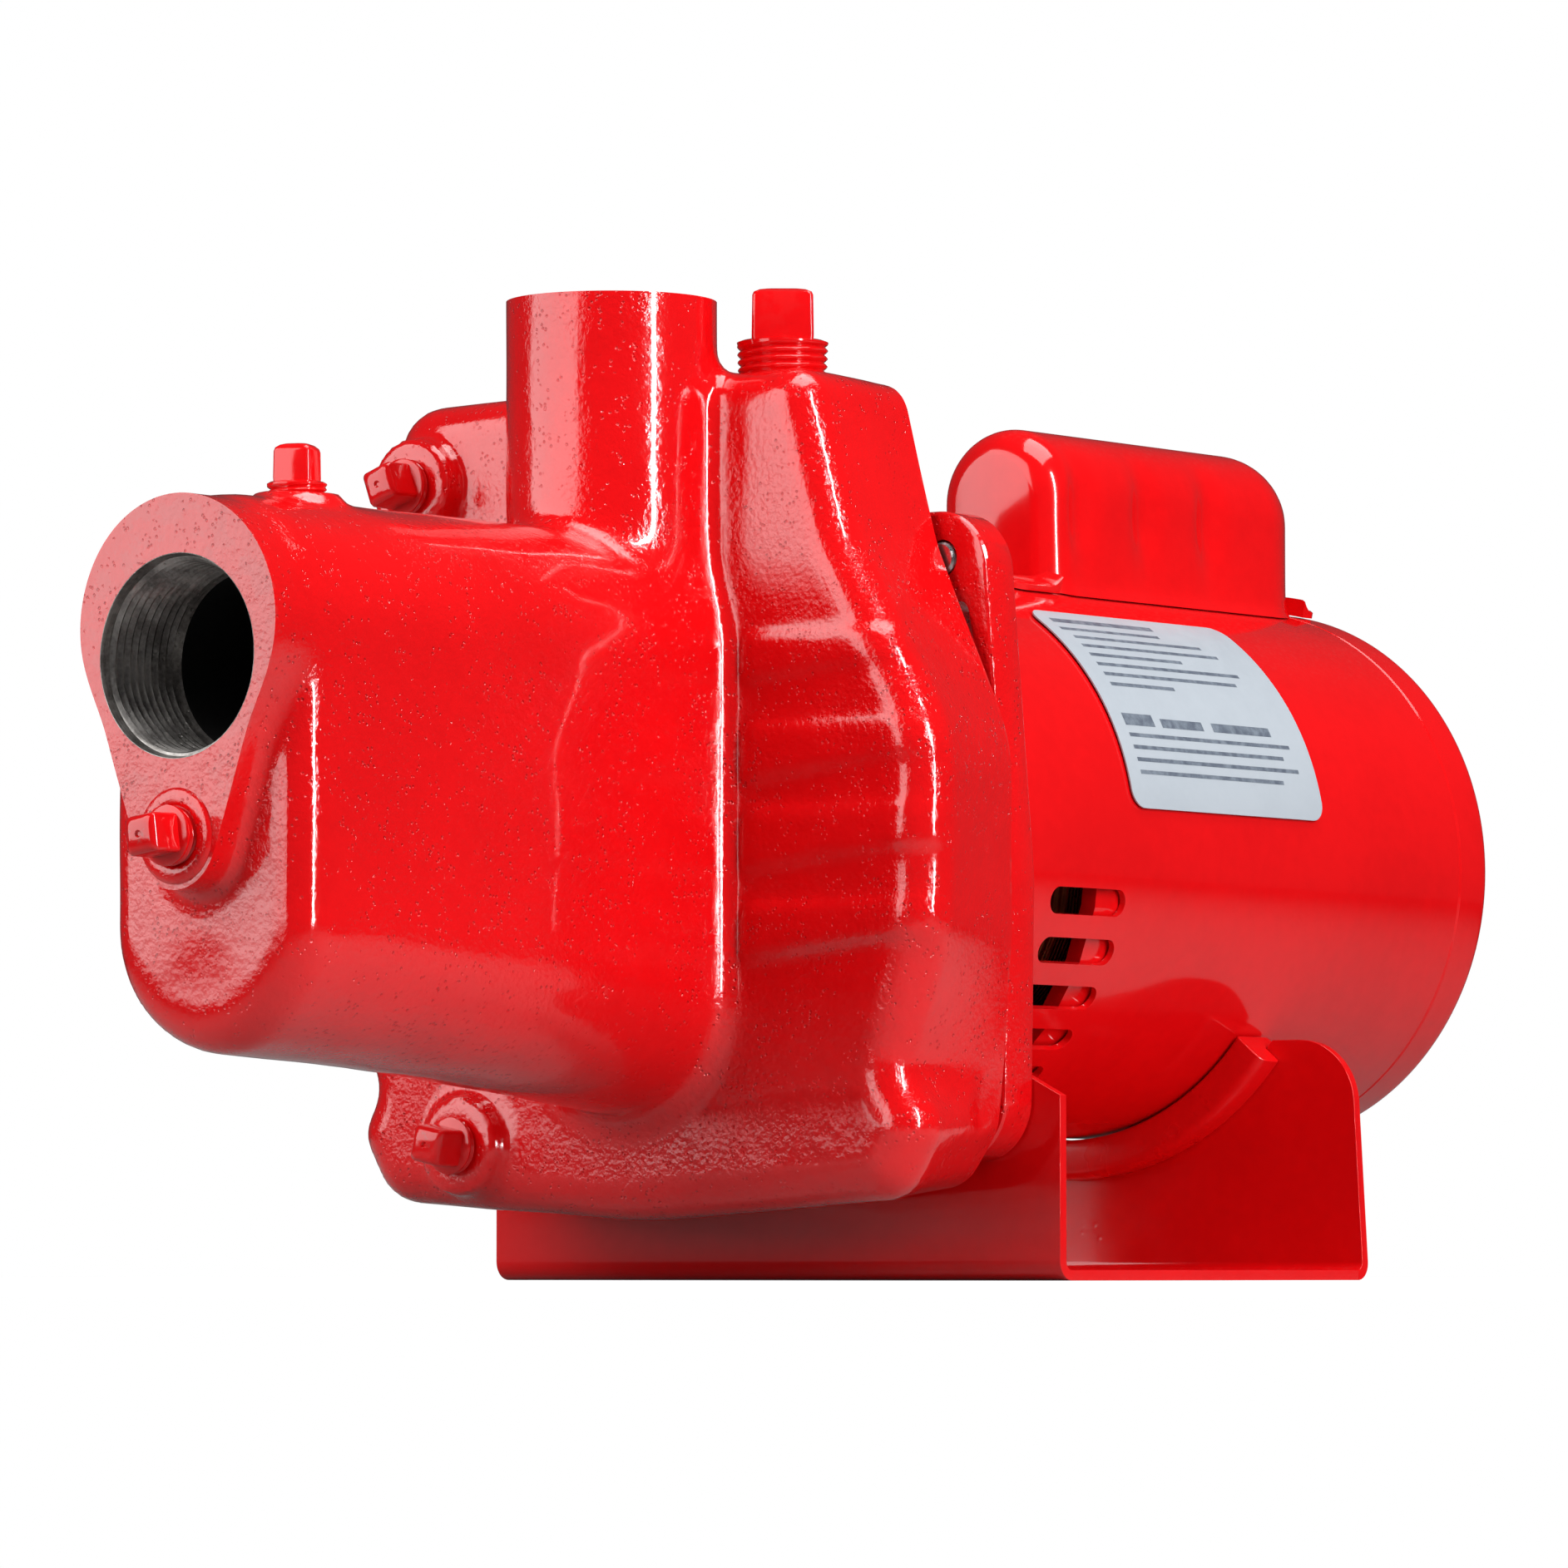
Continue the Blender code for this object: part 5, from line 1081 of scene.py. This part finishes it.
def rub_group():
    """Worn and thin paint along edges."""
    tree, given, out = group("edge rub", [("Amount", "Float", 0.5), ("Scale", "Float", 160.0)],
                             [("Mask", "Float")])
    edge = spread(tree, node(tree, "NewGeometry").outputs["Pointiness"], 0.535, 0.60)
    broken = spread(tree, noise(tree, own_place(tree), given.outputs["Scale"], 4.0), 0.50, 0.62)
    mask = maths(tree, "MULTIPLY", maths(tree, "MULTIPLY", edge, broken),
                 given.outputs["Amount"], True)
    tree.links.new(mask, out.inputs["Mask"])
    return tree


TONE = tone_drift_group()
SKIN = cast_skin_group()
DUST = dust_group()
LINES = tool_lines_group()
RUB = rub_group()


def use(tree, shared, **values):
    """Places a shared group in a material, with its own values."""
    made = tree.nodes.new("ShaderNodeGroup")
    made.node_tree = shared
    for key, value in values.items():
        name = key.replace("_", " ")
        if isinstance(value, bpy.types.NodeSocket):
            tree.links.new(value, made.inputs[name])
        else:
            made.inputs[name].default_value = value
    return made.outputs


def fresh(name, **fixed):
    """A material with its Principled shader, and plain values set on the shader's sockets."""
    made = bpy.data.materials.new(name)
    made.use_nodes = True
    tree = made.node_tree
    shader = tree.nodes["Principled BSDF"]
    for key, value in fixed.items():
        shader.inputs[key.replace("_", " ")].default_value = value
    return made, tree, shader


def wire(tree, shader, colour, roughness=None, height=None, strength=0.3, distance=0.001):
    """Feeds a shader's colour and, where given, its roughness and a bump from a height."""
    tree.links.new(colour, shader.inputs["Base Color"])
    if roughness is not None:
        tree.links.new(roughness, shader.inputs["Roughness"])
    if height is not None:
        bump = node(tree, "Bump", {"Height": height, "Strength": strength, "Distance": distance})
        tree.links.new(bump.outputs["Normal"], shader.inputs["Normal"])


def blended(tree, share, one, two):
    return node(tree, "Mix", {0: share, 6: one, 7: two}, data_type="RGBA").outputs[2]


# ---- finishes ------------------------------------------------------------------------------------
RED = (0.80, 0.0035, 0.0055, 1.0)
DEEP_RED = (0.56, 0.0015, 0.003, 1.0)
DUST_TONE = (0.42, 0.30, 0.27, 1.0)
BARE_IRON = (0.20, 0.18, 0.17, 1.0)


def enamel(name, grain, pits, peel, rub, dust, coat=0.35, grain_scale=260.0, pit_scale=420.0,
           gloss=(0.13, 0.22)):
    """Glossy red enamel, over a casting or over sheet."""
    made, tree, shader = fresh(name, Coat_Weight=coat, Coat_Roughness=0.06, IOR=1.5)
    base = use(tree, TONE, Colour=RED, Second_Colour=DEEP_RED, Scale=18.0, Amount=0.35)["Colour"]
    skin = use(tree, SKIN, Grain_Scale=grain_scale, Grain=grain, Pit_Scale=pit_scale, Pits=pits)
    worn = use(tree, RUB, Amount=rub, Scale=190.0)["Mask"]
    settled = use(tree, DUST, Amount=dust)["Mask"]
    darker = blended(tree, maths(tree, "MULTIPLY", skin["Pit Mask"], 0.35, True), base, DEEP_RED)
    colour = blended(tree, settled, blended(tree, worn, darker, BARE_IRON), DUST_TONE)
    peel_height = maths(tree, "MULTIPLY", noise(tree, own_place(tree), 520.0, 1.0), peel)
    height = maths(tree, "ADD", skin["Height"], peel_height)
    rough = spread(tree, noise(tree, own_place(tree), 60.0), 0.3, 0.7, gloss[0], gloss[1])
    rough = maths(tree, "ADD", rough, maths(tree, "MULTIPLY", settled, 0.5), True)
    wire(tree, shader, colour, rough, height, 1.0, 0.0004)
    return made


def metal(name, light, dark, stretch, depth, rough_low, rough_high):
    """Bare or plated metal with tool lines and slight staining."""
    scale, stain = 60.0, 0.3
    made, tree, shader = fresh(name, Metallic=1.0)
    base = use(tree, TONE, Colour=light, Second_Colour=dark, Scale=scale, Amount=stain)["Colour"]
    lines = use(tree, LINES, Stretch=stretch, Depth=depth)
    colour = blended(tree, maths(tree, "MULTIPLY", lines["Shade"], 0.35), base, dark)
    rough = spread(tree, noise(tree, own_place(tree), scale * 3), 0.3, 0.7, rough_low, rough_high)
    wire(tree, shader, colour, rough, lines["Height"], 0.5, 0.0001)
    return made


def moulded(name, light, dark, grain_scale, grain, rough_low, rough_high, coat=0.0, dust=0.1):
    """Moulded plastic, rubber, board or ceramic with its own grain."""
    made, tree, shader = fresh(name, Coat_Weight=coat)
    base = use(tree, TONE, Colour=light, Second_Colour=dark, Scale=45.0, Amount=0.6)["Colour"]
    skin = use(tree, SKIN, Grain_Scale=grain_scale, Grain=grain, Pit_Scale=grain_scale, Pits=0.1)
    settled = use(tree, DUST, Amount=dust)["Mask"]
    colour = blended(tree, settled, base, DUST_TONE)
    rough = spread(tree, noise(tree, own_place(tree), 120.0), 0.3, 0.7, rough_low, rough_high)
    wire(tree, shader, colour, rough, skin["Height"], 0.5, 0.0003)
    return made


def bare_thread_iron():
    """Unpainted iron inside a threaded mouth: dark, oily, with brighter crests."""
    made, tree, shader = fresh("bare_thread_iron", Metallic=0.85)
    base = use(tree, TONE, Colour=(0.50, 0.475, 0.45, 1), Second_Colour=(0.14, 0.126, 0.118, 1),
               Scale=90.0, Amount=0.9)["Colour"]
    skin = use(tree, SKIN, Grain_Scale=900.0, Grain=0.5, Pit_Scale=700.0, Pits=0.7)
    lines = use(tree, LINES, Stretch=(1800.0, 60.0, 60.0), Depth=0.6)
    colour = blended(tree, maths(tree, "MULTIPLY", skin["Pit Mask"], 0.7, True), base,
                     (0.30, 0.29, 0.27, 1))
    height = maths(tree, "ADD", skin["Height"], lines["Height"])
    rough = spread(tree, noise(tree, own_place(tree), 240.0), 0.3, 0.7, 0.34, 0.62)
    wire(tree, shader, colour, rough, height, 0.8, 0.0002)
    return made


def label_film():
    made, tree, shader = fresh("label_film", Coat_Weight=0.2, Coat_Roughness=0.25)
    base = use(tree, TONE, Colour=(0.47, 0.515, 0.565, 1), Second_Colour=(0.41, 0.455, 0.505, 1),
               Scale=30.0, Amount=0.5)["Colour"]
    specks = use(tree, SKIN, Grain_Scale=1500.0, Grain=0.3, Pit_Scale=900.0, Pits=0.05)
    rough = spread(tree, noise(tree, own_place(tree), 200.0), 0.3, 0.7, 0.30, 0.42)
    wire(tree, shader, base, rough, specks["Height"], 0.25, 0.0001)
    return made


def label_ink():
    made, tree, shader = fresh("label_ink")
    base = use(tree, TONE, Colour=(0.10, 0.12, 0.16, 1), Second_Colour=(0.24, 0.28, 0.33, 1),
               Scale=400.0, Amount=0.8)["Colour"]
    rough = spread(tree, noise(tree, own_place(tree), 700.0), 0.3, 0.7, 0.38, 0.5)
    wire(tree, shader, base, rough)
    return made


def copper_winding():
    """Varnished magnet wire, wound round the bore."""
    made, tree, shader = fresh("copper_winding", Metallic=0.7, Coat_Weight=0.5)
    base = use(tree, TONE, Colour=(0.52, 0.17, 0.055, 1), Second_Colour=(0.25, 0.06, 0.02, 1),
               Scale=70.0, Amount=0.7)["Colour"]
    at = node(tree, "SeparateXYZ", {0: own_place(tree)})
    wires = maths(tree, "SINE", maths(tree, "MULTIPLY", at.outputs["X"], 7000.0))
    rough = spread(tree, noise(tree, own_place(tree), 150.0), 0.3, 0.7, 0.25, 0.4)
    wire(tree, shader, base, rough, wires, 0.6, 0.0002)
    return made


def laminated_core():
    """Stacked steel sheets seen at their edges."""
    made, tree, shader = fresh("laminated_core", Metallic=0.9)
    base = use(tree, TONE, Colour=(0.30, 0.30, 0.32, 1), Second_Colour=(0.12, 0.10, 0.09, 1),
               Scale=80.0, Amount=0.6)["Colour"]
    at = node(tree, "SeparateXYZ", {0: own_place(tree)})
    sheets = maths(tree, "SINE", maths(tree, "MULTIPLY", at.outputs["X"], 12566.0))
    rough = spread(tree, noise(tree, own_place(tree), 150.0), 0.3, 0.7, 0.38, 0.55)
    wire(tree, shader, base, rough, sheets, 0.5, 0.0001)
    return made


def finishes():
    """Every finish by the record's material slot, and a few for single pieces."""
    steel, dull = (0.62, 0.62, 0.64, 1), (0.40, 0.40, 0.42, 1)
    return {
        "cast_enamel": enamel("cast_enamel", 0.62, 0.80, 0.05, 0.10, 0.03, coat=0.8,
                              grain_scale=820.0, pit_scale=760.0, gloss=(0.08, 0.14)),
        "shell_enamel": enamel("shell_enamel", 0.018, 0.03, 0.012, 0.0, 0.05, coat=0.4,
                               gloss=(0.10, 0.15)),
        "plug_enamel": enamel("plug_enamel", 0.06, 0.10, 0.02, 0.35, 0.03, grain_scale=500.0,
                              gloss=(0.08, 0.14)),
        "trim_red": enamel("trim_red", 0.10, 0.10, 0.05, 0.2, 0.06, coat=0.2,
                           gloss=(0.24, 0.34)),
        "zinc_steel": metal("zinc_steel", (0.66, 0.66, 0.67, 1), dull, (300.0, 300.0, 300.0), 0.5,
                            0.24, 0.38),
        "bearing_steel": metal("bearing_steel", steel, dull, (2500.0, 60.0, 60.0), 0.4, 0.16,
                               0.26),
        "shaft_steel": metal("shaft_steel", steel, dull, (3000.0, 40.0, 40.0), 0.5, 0.18, 0.30),
        "core_steel": laminated_core(),
        "bell_aluminium": metal("bell_aluminium", (0.55, 0.55, 0.57, 1), (0.36, 0.36, 0.37, 1),
                                (500.0, 500.0, 500.0), 1.2, 0.38, 0.55),
        "winding_copper": copper_winding(),
        "nozzle_brass": metal("nozzle_brass", (0.66, 0.48, 0.20, 1), (0.42, 0.28, 0.10, 1),
                              (2600.0, 50.0, 50.0), 0.5, 0.22, 0.34),
        "black_plastic": moulded("black_plastic", (0.035, 0.035, 0.04, 1), (0.02, 0.02, 0.022, 1),
                                 700.0, 0.25, 0.38, 0.5),
        "board_plastic": moulded("board_plastic", (0.14, 0.085, 0.045, 1),
                                 (0.08, 0.045, 0.025, 1), 1200.0, 0.3, 0.45, 0.6),
        "amber_plastic": moulded("amber_plastic", (0.48, 0.31, 0.08, 1), (0.36, 0.21, 0.05, 1),
                                 900.0, 0.15, 0.32, 0.45, coat=0.1),
        "ceramic_white": moulded("ceramic_white", (0.80, 0.79, 0.74, 1), (0.70, 0.68, 0.62, 1),
                                 1500.0, 0.08, 0.12, 0.2, coat=0.3, dust=0.0),
        "black_rubber": moulded("black_rubber", (0.028, 0.027, 0.027, 1),
                                (0.015, 0.015, 0.015, 1), 1400.0, 0.5, 0.55, 0.75, dust=0.2),
        "label_film": label_film(),
        "label_print": label_ink(),
        "bare_bore": bare_thread_iron(),
        # near black for the deep bores: painted shade where light does not reach, not the iron's
        # own colour
        "painted_shade_passage": moulded("painted_shade_passage", (0.010, 0.009, 0.009, 1),
                                (0.004, 0.004, 0.004, 1), 300.0, 0.6, 0.75, 0.95, dust=0.0),
    }


# the record's slot of each CAD node that stays as it is
CAD_SLOTS = {
    "front_end_bell": "shell_enamel", "rear_end_bell": "bell_aluminium",
    "casing_gasket": "black_rubber", "slinger": "black_rubber", "seal_cup": "black_rubber",
    "nozzle_o_ring": "black_rubber", "inlet_bushing": "black_rubber",
    "capacitor": "black_plastic", "start_switch": "black_plastic", "diffuser": "black_plastic",
    "impeller": "black_plastic", "cooling_fan": "black_plastic", "venturi": "black_plastic",
    "seal_head": "black_plastic", "governor": "amber_plastic",
    "start_switch_lever": "amber_plastic", "terminal_board": "board_plastic",
    "seal_seat": "ceramic_white", "nozzle": "nozzle_brass", "shaft": "shaft_steel",
    "rotor_core": "core_steel", "stator_core": "core_steel", "winding_front": "winding_copper",
    "winding_rear": "winding_copper", "capacitor_clip": "zinc_steel",
    "seal_spring": "zinc_steel"}


def slot_of(name):
    if name.startswith("through_bolt"):
        return "zinc_steel"
    if "bearing" in name:
        return "bearing_steel"
    return CAD_SLOTS[name]


def paint_everything():
    made = finishes()
    # the deep parts of both bores take the near-black painted shade finish
    special = {"suction_bore": "bare_bore", "discharge_bore": "bare_bore",
               "suction_bore_depth": "painted_shade_passage", "discharge_bore_depth": "painted_shade_passage",
               "label_print": "label_print"}
    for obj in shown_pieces():
        if obj.name in NODES:
            key = slot_of(obj.name)
            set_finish(obj, key)
        else:
            key = special.get(obj.name, obj.get("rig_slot"))
        obj.data.materials.clear()
        obj.data.materials.append(made[key])


# ---- studio --------------------------------------------------------------------------------------
FLOOR_R = 1.25
LIGHT_AIM = (-0.06, 0.0, 0.11)
CAMERA_AT = (-1.62196, -1.21277, 0.002)
CAMERA_HEADING = 37.788
CAMERA_PITCH = 3.29


def softbox(name, at, aim, size, radiance):
    """An even rectangular light, given by the brightness of its face."""
    data = bpy.data.lights.new(name, "AREA")
    data.shape = "RECTANGLE"
    data.size, data.size_y = size
    data.energy = radiance * math.pi * size[0] * size[1]
    obj = bpy.data.objects.new(name, data)
    bpy.context.scene.collection.objects.link(obj)
    obj.location = at
    obj.rotation_euler = (Vector(aim) - Vector(at)).to_track_quat("-Z", "Y").to_euler()
    obj.visible_camera = False


def bearing_at(degrees, distance, height):
    """A point at a bearing round the lights' aim."""
    turn = math.radians(degrees)
    return (LIGHT_AIM[0] + distance * math.cos(turn), distance * math.sin(turn), height)


def studio():
    """Three soft lights, a pale floor and a white room."""
    aim = LIGHT_AIM
    at = bearing_at(154, 1.15, 0.725)
    softbox("left_panel", at, (aim[0], aim[1], at[2]), (1.32, 1.26), 2.9)
    softbox("near_strip", bearing_at(263, 1.3, 0.60), aim, (0.13, 1.15), 42.0)
    softbox("overhead", (-0.02, -0.25, 1.25), aim, (1.0, 0.7), 4.4)
    floor = bpy.data.meshes.new("floor")
    rim = [(FLOOR_R * math.cos(math.radians(a)), FLOOR_R * math.sin(math.radians(a)), 0)
           for a in range(0, 360, 5)]
    floor.from_pydata(rim, [], [tuple(range(len(rim)))])
    obj = bpy.data.objects.new("floor", floor)
    bpy.context.scene.collection.objects.link(obj)
    obj.location.z = -0.0002
    made, tree, shader = fresh("pale_floor", Roughness=0.75, Specular_IOR_Level=0.0,
                               Emission_Color=(1, 1, 1, 1))
    seen = node(tree, "LightPath").outputs["Is Camera Ray"]
    pale = use(tree, TONE, Colour=(0.50, 0.50, 0.50, 1), Second_Colour=(0.48, 0.48, 0.48, 1),
               Scale=2.0, Amount=0.5)["Colour"]
    # To rays other than the camera's, the floor is grey. It is lightest round the middle and darker
    # outward: a painted fall-off of the bounce light onto the undersides.
    reach = node(tree, "VectorMath", {0: own_place(tree)}, operation="LENGTH").outputs["Value"]
    bounce = spread(tree, reach, 0.15, 1.0, 0.34, 0.03)
    dim = node(tree, "CombineColor", {0: bounce, 1: bounce, 2: bounce}).outputs[0]
    wire(tree, shader, blended(tree, seen, dim, pale))
    tree.links.new(maths(tree, "MULTIPLY", seen, 0.84), shader.inputs["Emission Strength"])
    floor.materials.append(made)

    world = bpy.data.worlds.new("studio_air")
    bpy.context.scene.world = world
    world.use_nodes = True
    tree = world.node_tree
    tree.nodes.clear()
    dim = node(tree, "Background", {"Color": (0.05, 0.05, 0.052, 1), "Strength": 1.0})
    white = node(tree, "Background", {"Color": (1.0, 1.0, 1.0, 1), "Strength": 1.0})
    seen = node(tree, "LightPath").outputs["Is Camera Ray"]
    mix = node(tree, "MixShader", {0: seen, 1: dim.outputs[0], 2: white.outputs[0]})
    out = tree.nodes.new("ShaderNodeOutputWorld")
    tree.links.new(mix.outputs[0], out.inputs["Surface"])


def camera():
    data = bpy.data.cameras.new("camera")
    data.lens = 194.81
    data.sensor_width = 36.0
    data.clip_start = 0.02
    obj = bpy.data.objects.new("camera", data)
    bpy.context.scene.collection.objects.link(obj)
    heading, pitch = math.radians(CAMERA_HEADING), math.radians(CAMERA_PITCH)
    forward = Vector((math.cos(pitch) * math.cos(heading), math.cos(pitch) * math.sin(heading),
                      math.sin(pitch)))
    obj.location = CAMERA_AT
    obj.rotation_euler = forward.to_track_quat("-Z", "Y").to_euler()
    bpy.context.scene.camera = obj


# ---- build ---------------------------------------------------------------------------------------
casing()
threaded_bore("suction_bore", (PAD_X, 0.0, MOUTH_Z), "X", MOUTH_R, 20 * mm, 67 * mm)
threaded_bore("discharge_bore", (RISER_X, 0.0, RISER_TOP), "Z", RISER_MOUTH_R, 18 * mm, 46 * mm)
toe_boss()
plugs()
bolts()
motor_shell()
rear_cover()
capacitor_cover()
cover_feet()
label()
base_bracket()
saddle_strip()
adapter_plate()
paint_everything()
studio()
camera()
bpy.context.scene.view_settings.view_transform = "Standard"
